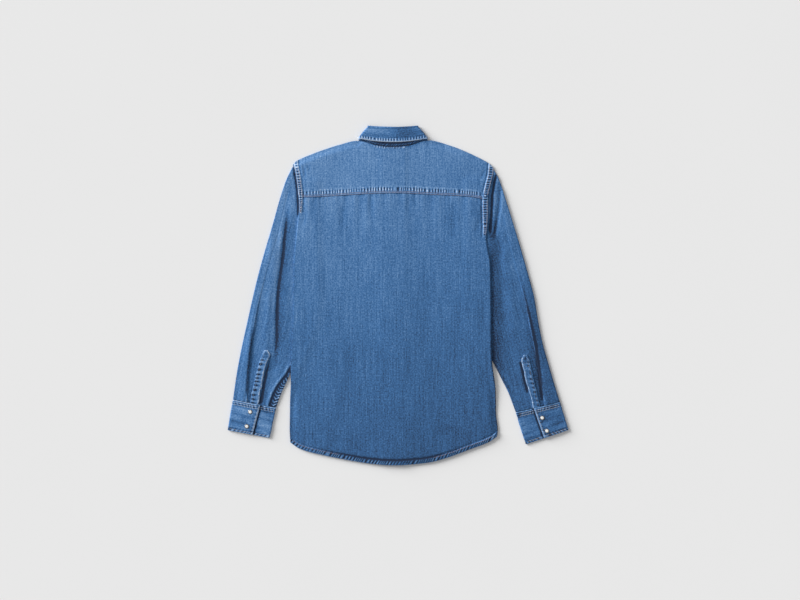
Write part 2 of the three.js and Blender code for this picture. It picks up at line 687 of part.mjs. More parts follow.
// The collar goes round the neck as a flattened ring: along the back, round each side, along the front.
// around runs from -1, one end at the front, over 0, the centre back, to 1, the other end.
const BACK_SHARE = 0.4;
const TURN_SHARE = 0.08;
const BACK_COLUMNS = 8;
const TURN_COLUMNS = 4;
const FRONT_COLUMNS = 6;
function aroundValues() {
  const half = [];
  for (let k = 0; k <= BACK_COLUMNS / 2; k++) half.push((BACK_SHARE * k * 2) / BACK_COLUMNS);
  for (let k = 1; k <= TURN_COLUMNS; k++) half.push(BACK_SHARE + (TURN_SHARE * k) / TURN_COLUMNS);
  const rest = 1 - BACK_SHARE - TURN_SHARE;
  for (let k = 1; k <= FRONT_COLUMNS; k++) half.push(1 - rest + (rest * k) / FRONT_COLUMNS);
  return [...half.slice(1).map((v) => -v).reverse(), ...half];
}

// A place on the ring: the share of the way out along the back, round the side, and along the front
function ringPlace(around) {
  const a = Math.abs(around);
  const back = clamp(a / BACK_SHARE, 0, 1);
  const round = clamp((a - BACK_SHARE) / TURN_SHARE, 0, 1);
  const frontShare = clamp((a - BACK_SHARE - TURN_SHARE) / (1 - BACK_SHARE - TURN_SHARE), 0, 1);
  return { side: Math.sign(around), back, round, frontShare };
}

// A point of the collar: its edge curves give the place across, its level the height of the flattened ring
function collarPoint(around, backEdge, frontEdge, level) {
  const { side, back, round, frontShare } = ringPlace(around);
  const radius = (level.back - level.front) / 2;
  const angle = Math.PI * round;
  const z = (level.back + level.front) / 2 + radius * Math.cos(angle);
  const [x, y] = frontShare > 0 ? frontEdge(frontShare) : backEdge(back);
  const bulge = radius * Math.sin(angle);
  return [side * (x + bulge), y, z];
}

const rollTurn = (FALL_LEVEL.back - STAND_LEVEL.back) / 2;
const ringHalf = (FALL_LEVEL.back - FALL_LEVEL.front) / 2;
const rollBack = (s) => [(ROLL_HALF - ringHalf) * s, ROLL_TOP - 1.5 - 2.6 * (1 - s * s)];
const rollFrontY = (x) =>
  mix(ROLL_FRONT, ROLL_TOP - 1.5, Math.pow(Math.abs(x) / (ROLL_HALF - ringHalf), 2.2));
const sewnOn = rollTurn + ROLL_OVER;

function collarFall() {
  const edgeBack = (s) => [(FALL_HALF - ringHalf) * s, mix(FALL_EDGE, FALL_EDGE_SIDE, s * s)];
  const rollFront = (s) => {
    const x = mix(ROLL_HALF - ringHalf, LEAF_END, s);
    return [x, rollFrontY(x)];
  };
  const edgeFront = (s) => [
    mix(FALL_HALF - ringHalf, LEAF_POINT.x, s * s),
    mix(FALL_EDGE_SIDE, LEAF_POINT.y, s),
  ];
  // up: how far a row lies above the turn's ends; out: from the stand's level to the fall's own
  const rows = [
    { up: -ROLL_OVER, out: 0 },
    { up: -2, out: 0 },
    { up: 0, out: 0.15 },
    { up: rollTurn, out: 0.5 },
    { up: 0, out: 0.85 },
    { up: -2.5, out: 1 },
  ];
  const faceSteps = 3;
  const middles = [];
  const blend = (a, b, t) => [mix(a[0], b[0], Math.pow(t, SPREAD)), mix(a[1], b[1], t)];
  const level = (out) => ({
    back: mix(STAND_LEVEL.back, FALL_LEVEL.back, out),
    front: mix(STAND_LEVEL.front, FALL_LEVEL.front, out),
  });
  const lifted = ([x, y], up) => [x, y + up - rollTurn];
  for (const row of rows) {
    const backEdge = (s) => lifted(rollBack(s), row.up);
    const frontEdge = (s) => lifted(rollFront(s), row.up);
    middles.push(aroundValues().map((a) => collarPoint(a, backEdge, frontEdge, level(row.out))));
  }
  const last = rows.at(-1).up;
  for (let k = 1; k <= faceSteps; k++) {
    const t = k / faceSteps;
    const backEdge = (s) => blend(lifted(rollBack(s), last), edgeBack(s), t);
    const frontEdge = (s) => blend(lifted(rollFront(s), last), edgeFront(s), t);
    middles.push(aroundValues().map((a) => collarPoint(a, backEdge, frontEdge, level(1))));
  }
  return thicken(middles, CLOTH / 2);
}

// Moves a grid of points out and in by half a wall, each along the surface's own direction
function thicken(grid, half) {
  const outer = [];
  const inner = [];
  const at = (i, count) => clamp(i, 0, count - 1);
  const point = (i, j) => new THREE.Vector3(...grid[at(i, grid.length)][at(j, grid[0].length)]);
  for (let i = 0; i < grid.length; i++) {
    outer.push([]);
    inner.push([]);
    for (let j = 0; j < grid[0].length; j++) {
      const across = point(i, j + 1).sub(point(i, j - 1));
      const down = point(i + 1, j).sub(point(i, j)).normalize();
      down.add(point(i, j).sub(point(i - 1, j)).normalize());
      const out = across.cross(down).normalize().multiplyScalar(half);
      outer[i].push(point(i, j).add(out).toArray());
      inner[i].push(point(i, j).sub(out).toArray());
    }
  }
  return wall(outer, inner, false);
}

function collarStand() {
  const steps = 2;
  const end = 3 - FRONT_BAND_HALF;
  const sewn = 0.9; // half a wall and the seam's gap
  const middles = [];
  for (let i = 0; i <= steps; i++) {
    const t = i / steps;
    const half = mix(NECK_HALF - 4.5, rollBack(1)[0], t);
    const backTop = (s) => rollBack(s)[1] - sewnOn - 2 * SEAM;
    const backEdge = (s) => [half * s, mix(shoulder(NECK_HALF * s) + sewn, backTop(s), t)];
    const frontEdge = (s) => {
      const top = rollFrontY(mix(rollBack(1)[0], end, s)) - sewnOn - 6 * SEAM;
      return [mix(half, end, s), mix(frontNeck(mix(NECK_HALF, end, s)) + sewn, top, t)];
    };
    middles.push(
      aroundValues().map((a) => {
        const lap = a > 0 ? (STAND + SEAM) * rise((a - 0.7) / 0.16) : 0;
        return collarPoint(a, backEdge, frontEdge, {
          back: STAND_LEVEL.back,
          front: STAND_LEVEL.front + lap,
        });
      }),
    );
  }
  return thicken(middles, STAND / 2);
}

// A snap cap, its open side down: a rim with a domed pearl in it, or a plain cap
function lathe(profile, segments) {
  const geometry = new THREE.LatheGeometry(profile.map(([r, z]) => new THREE.Vector2(r, z)), segments);
  return geometry.rotateX(Math.PI / 2);
}
const SNAP_SIDES = 14;
function snapRim() {
  const [outer, inner, height] = [SNAP_RADIUS, SNAP_PEARL + 0.1, SNAP_HEIGHT];
  return lathe(
    [
      [0, 0],
      [outer, 0],
      [outer, height * 0.55],
      [outer - 0.6, height * 0.85],
      [inner, height * 0.7],
      [inner, height * 0.35],
      [0, height * 0.35],
    ],
    SNAP_SIDES,
  );
}
function snapPearl() {
  const base = SNAP_HEIGHT * 0.35 + 0.1;
  return lathe(
    [
      [0, base],
      [SNAP_PEARL, base],
      [SNAP_PEARL, SNAP_HEIGHT * 0.75],
      [SNAP_PEARL * 0.6, SNAP_HEIGHT * 0.97],
      [0, SNAP_HEIGHT],
    ],
    SNAP_SIDES,
  );
}
function plainSnap() {
  const height = FRONT_SNAP_HEIGHT;
  return lathe(
    [
      [0, 0],
      [SNAP_RADIUS - 0.8, 0],
      [SNAP_RADIUS, height * 0.5],
      [SNAP_RADIUS, height],
      [0, height],
    ],
    SNAP_SIDES,
  );
}

const shirt = new THREE.Group();
function add(name, geometry, look, position = [0, 0, 0]) {
  const mesh = new THREE.Mesh(geometry, new THREE.MeshStandardMaterial(look));
  mesh.name = name;
  mesh.position.set(...position);
  shirt.add(mesh);
}

add("back_panel", backPanel(), denim);
add("back_yoke", backYoke(), denim);
add("front_left", front(sideLeft, () => -FRONT_BAND_HALF - SEAM, leftUnder), denim);
add("front_right", front(() => FRONT_BAND_HALF + SEAM, sideRight, rightUnder), denim);
add("band_left", frontBand(leftUnder), denim);
add("band_right", frontBand(rightBandUnder), denim);
add("sleeve_left", sleeve(LEFT_SLEEVE, -1, 19), denim);
add("sleeve_right", sleeve(RIGHT_SLEEVE, 1, 19), denim);
add("sleeve_placket_left", sleevePlacket(LEFT_PLACKET, LEFT_CUFF), denimWorn);
add("sleeve_placket_right", sleevePlacket(RIGHT_PLACKET, RIGHT_CUFF), denimWorn);
add("cuff_left", cuff(LEFT_CUFF), denim);
add("cuff_right", cuff(RIGHT_CUFF), denim);
add("collar_stand", collarStand(), denim);
add("collar_fall", collarFall(), denim);

const cuffTop = 3 * (CUFF + SEAM);
for (const snap of CUFF_SNAPS) {
  add(snap.name + "_rim", snapRim(), nickel, [snap.x, snap.y, cuffTop]);
  add(snap.name, snapPearl(), pearl, [snap.x, snap.y, cuffTop]);
}
for (let k = 0; k < FRONT_SNAPS; k++) {
  add("snap_front_" + (k + 1), plainSnap(), pearl, [0, FRONT_SNAP_TOP - k * FRONT_SNAP_STEP, 0]);
}
const standUnder = STAND_LEVEL.front - STAND / 2;
add("snap_neck", plainSnap(), pearl, [0, NECK_SNAP, standUnder - SEAM - FRONT_SNAP_HEIGHT]);

// The frame's origin is the middle of the underside of the whole shirt
const part = new THREE.Group();
part.add(shirt);
const box = new THREE.Box3().setFromObject(shirt, true);
const centre = box.getCenter(new THREE.Vector3());
shirt.position.set(-centre.x, -centre.y, -box.min.z);

export default part;
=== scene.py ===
# A man's denim shirt with snap fasteners, fastened and laid flat on its front, so its back shows.
# Left and right are the wearer's: with the back up, the wearer's left lies at -X.
import math

import bmesh
import bpy
import numpy as np
from mathutils import Matrix, Vector
from mathutils.bvhtree import BVHTree


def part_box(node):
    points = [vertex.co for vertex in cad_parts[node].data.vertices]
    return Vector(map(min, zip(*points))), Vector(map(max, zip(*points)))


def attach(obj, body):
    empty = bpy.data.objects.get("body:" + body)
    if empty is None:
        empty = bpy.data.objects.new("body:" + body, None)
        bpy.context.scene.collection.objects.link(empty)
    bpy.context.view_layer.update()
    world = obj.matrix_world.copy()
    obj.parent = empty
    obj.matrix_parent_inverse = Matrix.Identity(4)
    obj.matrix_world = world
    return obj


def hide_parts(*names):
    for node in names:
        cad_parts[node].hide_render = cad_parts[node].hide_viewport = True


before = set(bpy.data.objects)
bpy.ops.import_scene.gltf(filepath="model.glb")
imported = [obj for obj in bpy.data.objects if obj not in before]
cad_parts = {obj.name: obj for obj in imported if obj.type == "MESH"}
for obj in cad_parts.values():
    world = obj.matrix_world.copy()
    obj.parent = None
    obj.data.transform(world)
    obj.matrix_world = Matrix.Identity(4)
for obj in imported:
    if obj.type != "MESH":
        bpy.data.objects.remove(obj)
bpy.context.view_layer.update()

bl_info = {
    "name": "Denim shirt laid flat",
    "version": (1, 0, 0),
    "blender": (4, 5, 0),
    "location": "View3D > Sidebar > Shirt",
    "description": "Sews a denim shirt with snap fasteners and lays it flat with its back up",
    "category": "Add Mesh",
}

# Sizes are in millimetres, and a piece is moved into the frame, in metres, when its mesh is made
MM = 0.001

# Cloth
CLOTH = 1.3  # one layer of denim
BAND = 1.5  # front bands: two layers and a stiffener
STAND = 1.4  # the collar stand
CUFF = 2.0
SEAM = 0.3  # between pieces that are sewn together
FELL = 0.8  # how much thicker a felled seam is
FELL_WIDTH = 11.5
YOKE_BAND = 10.5
HEM_WIDTH = 10.5
HEM_THICK = 0.9

# Layers, measured up from the surface
SLEEVE_ROOM = 4.0  # the body passes over a tucked sleeve at this height
SNAP_ROOM = 1.3  # the left band stands on its snap caps
LEAF_ROOM = 1.8  # the fronts pass over the collar's leaves
EDGE_LEVEL = 1.7  # the back's underside at its edges
LOFT = 2.9  # the back lies this far above its own edge
SPINE_LOFT = 0.9  # and a little more down its middle, over this half width
SPINE_HALF = 60
RESTING = 0.15  # a layer lies this far above the next, beyond the seam's gap
SIDE_CURVE_START = 400.0  # a first guess of Y, from which a panel's X and Y are found in turns
COARSE = 4  # a wall's inner grid keeps every fourth row and column of its outer grid
EDGE_ROUND = 18  # the back rounds down to its edge over this width
TUCK_MARGIN = 12  # the front stays up this far past a sleeve's inner edge
TUCK_FADE = 45  # and comes down to the surface over this width
ARM_FADE = 40  # and over this length, up along the armhole
LEAVES = {"middle": 735, "half_width": 95, "half_length": 112, "fade": 30}
LEFT_FADE = 25  # beside the bands the left front comes down over this width
RIGHT_FADE = 35  # and the right front over this one
FRONT_BAND_HALF = 17
NECK_HALF = 84  # half the neck opening, across the shoulders

# The body's sides, from the hem up the side folds and the armhole seams
SIDES = {
    "y": [58, 85, 120, 155, 190, 244, 296, 390, 479, 508, 536, 566, 590, 613, 637, 660, 684, 710],
    "left": [-241, -242.5, -242, -241.5, -240, -240, -237, -234, -233, -231, -228, -224.8, -222.5,
             -222.2, -223.8, -226.5, -230, -235.5],
    "right": [241, 246, 242, 241.5, 240, 232.5, 230.5, 230, 228, 222.5, 218.5, 221, 222.5, 222.3,
              223.5, 228.5, 234.5, 237],
}
HEM = {
    "x": [-246, -218, -171, -101, -50, 2, 50, 92, 134, 181, 225, 248],
    "y": [60, 41, 28, 14, 6, 2.5, 5, 10.5, 22.5, 40, 57, 73],
}
# The shoulder folds, and the back neck seam between them
SHOULDERS = {
    "x": [-237, -226, -195, -160, -125, -84, -40, 0, 40, 84, 134, 169, 204, 228, 238],
    "y": [706, 717, 731, 744, 755, 764, 753.5, 750, 753.5, 765, 753, 739.5, 723, 709, 697],
}
YOKE = {
    "x": [-220, -171, -54, 16, 87, 181, 218],
    "y": [631, 632, 639, 640.5, 637, 632, 625],
}
# The sleeves, from armhole to cuff: their outer edge, and the inner edge tucked under the body.
# edge: how far in from the outer edge the cuff pleat's fold lies, as a share of the width.
# bend, turn and tuck: the pleat's radius, how far round it folds, and the length folded back.
LEFT_SLEEVE = {
    "out_x": [-237, -251.5, -265, -280.5, -297, -313, -328.5, -340.5, -352, -362, -369, -375.1],
    "out_y": [704, 672, 630, 573, 517, 460.5, 397, 343, 291.5, 242, 200, 156.35],
    "in_x": [-196, -196, -194, -190.5, -188.5, -195, -208, -223, -240, -251.5, -264, -275.2],
    "in_y": [584, 545, 500, 448, 395, 343, 301, 261, 223, 196, 169, 137.55],
    "edge": [0.12, 0.12, 0.12, 0.12, 0.11, 0.1, 0.1, 0.12, 0.155, 0.205, 0.26, 0.31],
    "bend": [12, 12, 12, 12, 10, 8, 4, 1.6, 0.95, 0.85, 0.85, 0.85],
    "turn": [6, 6, 6, 6, 7, 10, 25, 70, 130, 180, 180, 180],
    "tuck": [2, 2, 2, 2, 2, 2, 2, 1.2, 1.2, 5, 8, 11],
}
RIGHT_SLEEVE = {
    "out_x": [238, 250, 263.5, 281, 298, 315, 331, 340, 350.5, 364, 377, 391.4],
    "out_y": [696, 672, 630, 573, 517, 458, 397, 343, 291, 242, 197, 150.85],
    "in_x": [190, 190, 188.5, 186, 184.5, 190, 204.5, 218.5, 236, 256, 271.5, 288.9],
    "in_y": [531, 490, 448, 405, 368, 338, 305.5, 275, 244, 204, 173, 126.85],
    "edge": [0.12, 0.12, 0.12, 0.13, 0.14, 0.14, 0.14, 0.15, 0.165, 0.21, 0.27, 0.33],
    "bend": [12, 12, 12, 10, 8, 5, 2.6, 1.4, 0.95, 0.85, 0.85, 0.85],
    "turn": [6, 6, 6, 7, 10, 18, 45, 80, 130, 180, 180, 180],
    "tuck": [2, 2, 2, 2, 2, 2, 1.5, 1.2, 1.2, 5, 8, 11],
}
# Soft troughs along the sleeves: their two ends, depth and half width, and the ridge beside them
SLEEVE_TROUGHS = [
    ((-252, 640), (-266, 500), 0.9, 8, 1.1),
    ((-266, 500), (-276, 390), 1.1, 9, 1.2),
    ((-276, 390), (-281, 240), 1.1, 9, 0.8),
    ((245, 640), (250, 500), 1.0, 8, 1.6),
    ((250, 500), (262, 330), 0.9, 11, 1.2),
]
SLEEVE_BED = 3.4  # middle of the upper layer, where nothing raises or lowers it
SLEEVE_TUCKED = 2.85  # and where the body lies over it
SLEEVE_LOWEST = 2.35
PLEAT_BED = 2.7  # and beside the cuff pleat
SLEEVE_EDGE_TOP = 4.2  # the highest that a sleeve's outer edge is
ARMHOLE_REACH = 3  # the first rows of a sleeve follow the curve of the armhole
ARMHOLE_END = {"left": 590, "right": 538}  # the armhole seams show down to here
ARMHOLE_UNDER = 665  # below this the sleeves lie under the fronts
HIDING = {"above": 72, "over": 60}  # a sleeve's first row goes under the body here, up from that end

# The sleeve plackets: their two edges, from the cuff to the pointed top
LEFT_PLACKET = {
    "y": [145, 172, 195, 219, 245, 262, 273],
    "left": [-335, -332, -326.5, -321, -314, -307.5, -301.5],
    "right": [-317, -311.5, -307, -302.5, -295, -288.5, -294.5],
}
RIGHT_PLACKET = {
    "y": [136, 153, 174, 197, 225, 250, 262],
    "left": [329, 325.5, 319.5, 313, 307, 301.5, 307.5],
    "right": [346, 343, 337.5, 332, 326, 320, 314],
}
PLACKET_THICK = 1.5

# The cuffs: outer and inner end of their upper and lower edges, and the place of the lapped end
LEFT_CUFF = {
    "out_x": [-375.2, -387.5], "out_y": [156, 85], "in_x": [-275.3, -291], "in_y": [137.2, 67],
    "lap": [0.64, 0.6],
}
RIGHT_CUFF = {
    "out_x": [391.5, 411], "out_y": [150.5, 85], "in_x": [289, 312.5], "in_y": [126.5, 52],
    "lap": [0.595, 0.57],
}
CUFF_LAP = 28  # how far one end of the cuff lies over the other
CUFF_EDGE_TOP = 4.4  # the level of the upper layer at the cuff's outer edge
CUFF_DEPTH = 73
UNDER_LAP = 44  # the cuff's lower end is shaded this far out from the lap

# The collar
NECK_DROP = 84  # from the neck points down to the front neck seam
ROLL_HALF = 59.5  # half width at the roll, and at the lower edge
FALL_HALF = 82
SPREAD = 0.82  # the fall widens quickly below the roll
ROLL_TOP = 800.5
FALL_EDGE = 761  # the lower edge at the centre back, and at the sides
FALL_EDGE_SIDE = 769
ROLL_FRONT = 722  # the roll at the centre front
LEAF_END = 10  # each leaf ends this far from the centre front
LEAF_POINT = (46, 652)
ROLL_OVER = 9  # the fall is sewn on this far below the roll
STAND_LEVEL = {"back": 6.3, "front": 2.55}  # middle of the stand's wall
FALL_LEVEL = {"back": 8.2, "front": 0.65}
BACK_SHARE = 0.4  # of the way round the neck, the back takes this share, and each side turn this
TURN_SHARE = 0.08


# Curves and blends

def mix(a, b, t):
    return a + (b - a) * t


def unit(vectors):
    """Vectors of length 1, from an array with one in each row"""
    return vectors / np.maximum(np.linalg.norm(vectors, axis=-1, keepdims=True), 1e-6)


def along_path(path):
    """How far along a path each of its points lies"""
    return np.concatenate([[0], np.cumsum(np.linalg.norm(np.diff(path, axis=0), axis=1))])


def rise(t):
    s = np.clip(t, 0, 1)
    return s * s * (3 - 2 * s)


def bell(t):
    return np.exp(-t * t)


def soft_max(*values):
    return sum(np.maximum(v, 0) ** 10 for v in values) ** 0.1


def curve(at, value):
    """A smooth curve through a table's rows, for one value or an array of them"""
    at = np.asarray(at, float)
    value = np.asarray(value, float)
    last = len(at) - 1
    index = np.arange(last + 1)
    before = np.maximum(index - 1, 0)
    after = np.minimum(index + 1, last)
    slope = (value[after] - value[before]) / (at[after] - at[before])

    def read(x):
        i = np.clip(np.searchsorted(at, x) - 1, 0, last - 1)
        width = at[i + 1] - at[i]
        t = np.clip((x - at[i]) / width, 0, 1)
        t2 = t * t
        t3 = t2 * t
        ends = (2 * t3 - 3 * t2 + 1) * value[i] + (3 * t2 - 2 * t3) * value[i + 1]
        return ends + width * ((t3 - 2 * t2 + t) * slope[i] + (t3 - t2) * slope[i + 1])

    return read


def wander(s, length, seed):
    """Smooth noise from -1 to 1 along a line, with one knot for each length"""
    knots = np.random.default_rng(seed).uniform(-1, 1, 1024)
    at = np.asarray(s, float) / length
    i = np.floor(at).astype(int)
    return mix(knots[i % 1024], knots[(i + 1) % 1024], rise(at - i))


def puckers(s, pitch, seed, uneven=0.45):
    """Ridges along a seam, from -1 to 1, uneven in spacing and in height"""
    phase = s / pitch + uneven * wander(s, 2.7 * pitch, seed)
    height = 0.72 + 0.28 * wander(s, 2.1 * pitch, seed + 1)
    return np.cos(2 * np.pi * phase) * height


side_left = curve(SIDES["y"], SIDES["left"])
side_right = curve(SIDES["y"], SIDES["right"])
hem = curve(HEM["x"], HEM["y"])
shoulder = curve(SHOULDERS["x"], SHOULDERS["y"])
yoke_seam = curve(YOKE["x"], YOKE["y"])
tuck_left = curve(LEFT_SLEEVE["in_y"][::-1], LEFT_SLEEVE["in_x"][::-1])
tuck_right = curve(RIGHT_SLEEVE["in_y"][::-1], RIGHT_SLEEVE["in_x"][::-1])


def front_neck(x):
    return shoulder(NECK_HALF) - NECK_DROP * (1 - (np.abs(x) / NECK_HALF) ** 2.4)


def front_top(x):
    return np.where(np.abs(x) < NECK_HALF, front_neck(np.clip(x, -NECK_HALF, NECK_HALF)), shoulder(x))


# The frame's origin is the middle of the underside of the whole shirt
BAND_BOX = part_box("band_left")
SHIFT_X = (BAND_BOX[0][0] + BAND_BOX[1][0]) / 2 / MM
SHIFT_Y = BAND_BOX[1][1] / MM - float(front_neck(0) - SEAM)


def to_frame(points):
    return (np.asarray(points, float) + (SHIFT_X, SHIFT_Y, 0)) * MM


# How high the layers lie

def over_sleeve(x, y):
    inside = np.minimum(x - tuck_left(y), tuck_right(y) - x)
    below_arm = 1 - rise((y - ARMHOLE_UNDER) / ARM_FADE)
    return SLEEVE_ROOM * (1 - rise((inside - TUCK_MARGIN) / TUCK_FADE)) * below_arm


def over_leaf(x, y):
    distance = np.hypot(x / LEAVES["half_width"], (y - LEAVES["middle"]) / LEAVES["half_length"])
    return LEAF_ROOM * (1 - rise((distance - 1) * LEAVES["half_width"] / LEAVES["fade"]))


def beside(x, width):
    return 1 - rise((np.abs(x) - FRONT_BAND_HALF) / width)


def left_under(x, y):
    return soft_max(over_sleeve(x, y), over_leaf(x, y), SNAP_ROOM * beside(x, LEFT_FADE))


def right_band_under(x, y):
    return left_under(np.minimum(x, 0), y) + BAND + SEAM


def right_under(x, y):
    return soft_max(over_sleeve(x, y), over_leaf(x, y), (SNAP_ROOM + BAND + SEAM) * beside(x, RIGHT_FADE))


def hem_fold(x, y):
    return HEM_THICK * (1 - rise((y - hem(x) - HEM_WIDTH) / 1.5 + 1))


def front_cloth(x, y):
    return CLOTH + hem_fold(x, y)


def top_of_front(x, y):
    middle = (right_band_under(0 * x, y) + BAND) * beside(np.abs(x) - 8, RIGHT_FADE)
    panel = np.where(x < 0, left_under(x, y), right_under(x, y))
    return np.maximum(middle, panel + front_cloth(x, y))


# Soft creases that hang from the yoke seam: x, top, bottom, depth and half width
BACK_CREASES = [
    (-190, 622, 588, 0.7, 6), (-118, 610, 566, 0.6, 7), (-52, 632, 596, 0.6, 6),
    (36, 630, 590, 0.5, 7), (142, 618, 540, 0.7, 9), (188, 620, 586, 0.7, 6),
]
BACK_WAVE = {"height": 0.35, "length": 170, "lean": 0.12}


def back_crease(x, y):
    total = 0
    for at, top, bottom, depth, half in BACK_CREASES:
        along = rise((top + 12 - y) / 24) * rise((y - bottom + 20) / 40)
        total = total + depth * along * bell((x - at) / half)
    return total


def back_under(x, y):
    side = np.minimum(x - side_left(y), side_right(y) - x)
    in_neck = np.maximum(NECK_HALF - np.abs(x), 0)
    top = shoulder(x) - y + in_neck
    bottom = y - hem(x) + 6
    room = rise(np.minimum(np.minimum(side, top), bottom) / EDGE_ROUND)
    wave = np.sin(2 * np.pi * (x + BACK_WAVE["lean"] * y) / BACK_WAVE["length"])
    full = LOFT + SPINE_LOFT * bell(x / SPINE_HALF) + BACK_WAVE["height"] * wave
    return soft_max(top_of_front(x, y) + SEAM + RESTING, EDGE_LEVEL + full * room - back_crease(x, y))


# Meshes

def every(last, step):
    return list(range(0, last, step)) + [last]


def rim(fine, coarse, kept, flip):
    """Triangles between a fine edge and a coarse one that has only the kept points"""
    faces = []
    for a, b in zip(range(len(kept) - 1), range(1, len(kept))):
        middle = (kept[a] + kept[b]) // 2
        for k in range(kept[a], kept[b]):
            faces.append((fine[k + 1], fine[k], coarse[a] if k < middle else coarse[b]))
        faces.append((coarse[a], coarse[b], fine[middle]))
    return [face[::-1] for face in faces] if flip else faces


def shell_faces(rows, last, loops):
    """Corners of a closed wall's faces: a fine outer grid, a coarser inner one, and their rims.
    A corner is (layer * rows + row) * (last + 1) + column."""
    def corner(layer, i, j):
        return (layer * rows + i) * (last + 1) + j

    i, j = np.mgrid[0:rows - 1, 0:last]
    outer = [corner(0, i, j), corner(0, i, j + 1), corner(0, i + 1, j + 1), corner(0, i + 1, j)]
    faces = np.stack(outer, -1).reshape(-1, 4).tolist()
    kept_rows = every(rows - 1, COARSE)
    kept_columns = every(last, COARSE)
    for a, b in zip(kept_rows, kept_rows[1:]):
        for c, d in zip(kept_columns, kept_columns[1:]):
            faces.append([corner(1, a, c), corner(1, b, c), corner(1, b, d), corner(1, a, d)])
    for i, flip in ((0, False), (rows - 1, True)):
        fine = [corner(0, i, j) for j in range(last + 1)]
        faces += rim(fine, [corner(1, i, j) for j in kept_columns], kept_columns, flip)
    if not loops:
        for j, flip in ((0, True), (last, False)):
            fine = [corner(0, i, j) for i in range(rows)]
            faces += rim(fine, [corner(1, i, j) for i in kept_rows], kept_rows, flip)
    return faces


def make_mesh(name, points, faces, uvs=None, wear=None):
    """A closed mesh from points in millimetres, turned right side out. uvs has a row for each face corner."""
    mesh = bpy.data.meshes.new(name)
    mesh.from_pydata(to_frame(points).tolist(), [], faces)
    if uvs is not None:
        layer = mesh.uv_layers.new(name="cloth")
        layer.data.foreach_set("uv", (np.asarray(uvs, float) * MM).ravel())
    if wear is not None:
        # This attribute holds the cloth's wear together with painted shade and painted highlights
        attribute = mesh.attributes.new("wear", "FLOAT", "POINT")
        attribute.data.foreach_set("value", np.asarray(wear, np.float32))
    mesh.polygons.foreach_set("use_smooth", [True] * len(mesh.polygons))
    mesh.update()
    if signed_volume(mesh) < 0:
        mesh.flip_normals()
    piece = bpy.data.objects.new(name, mesh)
    bpy.context.collection.objects.link(piece)
    return piece


def wall(name, outer, inner, uv, wear, loops=False):
    """A closed wall of cloth between two grids of points. uv and wear follow the outer grid; on a
    wall that loops, uv has one more column than the grid, where it comes round again."""
    rows, columns = outer.shape[:2]
    last = columns if loops else columns - 1
    corners = shell_faces(rows, last, loops)
    flat = np.concatenate([np.asarray(face) for face in corners])
    vertex = flat // (last + 1) * columns + flat % (last + 1) % columns
    used, index = np.unique(vertex, return_inverse=True)
    points = np.concatenate([outer.reshape(-1, 3), inner.reshape(-1, 3)])[used]
    both_wear = np.concatenate([wear.ravel(), 0 * wear.ravel()])[used]
    corner_uv = np.concatenate([uv.reshape(-1, 2), uv.reshape(-1, 2)])[flat]
    ends = np.cumsum([len(face) for face in corners])
    faces = [part.tolist() for part in np.split(index.ravel(), ends[:-1])]
    return make_mesh(name, points, faces, corner_uv, both_wear)


def layer_wall(name, x, y, outer_z, inner_z, wear):
    """A wall of cloth between two heights over the same places, where its threads also run"""
    flat = np.stack([x, y], -1)
    outer = np.stack([x, y, outer_z], -1)
    inner = np.stack([x, y, inner_z], -1)
    return wall(name, outer, inner, flat, wear)


def signed_volume(mesh):
    mesh.calc_loop_triangles()
    points = np.zeros(len(mesh.vertices) * 3)
    mesh.vertices.foreach_get("co", points)
    triangles = np.zeros(len(mesh.loop_triangles) * 3, np.int32)
    mesh.loop_triangles.foreach_get("vertices", triangles)
    a, b, c = points.reshape(-1, 3)[triangles.reshape(-1, 3)].transpose(1, 0, 2)
    return float((a * np.cross(b, c)).sum() / 6)


def normals_of(grid):
    """The direction out of a grid of points, at each of them"""
    return unit(np.cross(np.gradient(grid, axis=1), np.gradient(grid, axis=0)))


def arc(points, axis):
    """Distance along one axis of a grid of points, from its start"""
    steps = np.linalg.norm(np.diff(points, axis=axis), axis=-1)
    start = np.zeros_like(np.take(steps, [0], axis=axis))
    return np.concatenate([start, np.cumsum(steps, axis=axis)], axis=axis)


def places(near, count, far):
    """Places along any length L, each a + s * L: some close to each end, the rest evenly between"""
    t = np.linspace(0, 1, count + 1)[1:-1]
    a = np.concatenate([near, near[-1] * (1 - t) - far[0] * t, -np.asarray(far, float)])
    s = np.concatenate([np.zeros(len(near)), t, np.ones(len(far))])
    return a, s


def panel_grid(left, right, bottom, top, across, along):
    """X and Y of a grid between two sides and two ends"""
    (across_a, across_s), (along_a, along_s) = across, along
    x = np.broadcast_to(mix(left(SIDE_CURVE_START), right(SIDE_CURVE_START), across_s)[None, :],
                        (len(along_a), len(across_a)))
    for _ in range(6):
        y = bottom(x) + along_a[:, None] + along_s[:, None] * (top(x) - bottom(x))
        x = left(y) + across_a[None, :] + across_s[None, :] * (right(y) - left(y))
    return x, y


# Materials

class Socket:
    """A node's output, on which Python arithmetic adds Math nodes"""

    def __init__(self, looks, output):
        self.looks = looks
        self.output = output

    def math(self, operation, *values):
        return self.looks.node("ShaderNodeMath", {"operation": operation}, values)

    def __add__(self, other):
        return self.math("ADD", self, other)

    def __sub__(self, other):
        return self.math("SUBTRACT", self, other)

    def __rsub__(self, other):
        return self.math("SUBTRACT", other, self)

    def __mul__(self, other):
        return self.math("MULTIPLY", self, other)

    __radd__ = __add__
    __rmul__ = __mul__

    def clamped(self):
        return self.looks.node("ShaderNodeClamp", {}, (self, 0.0, 1.0))


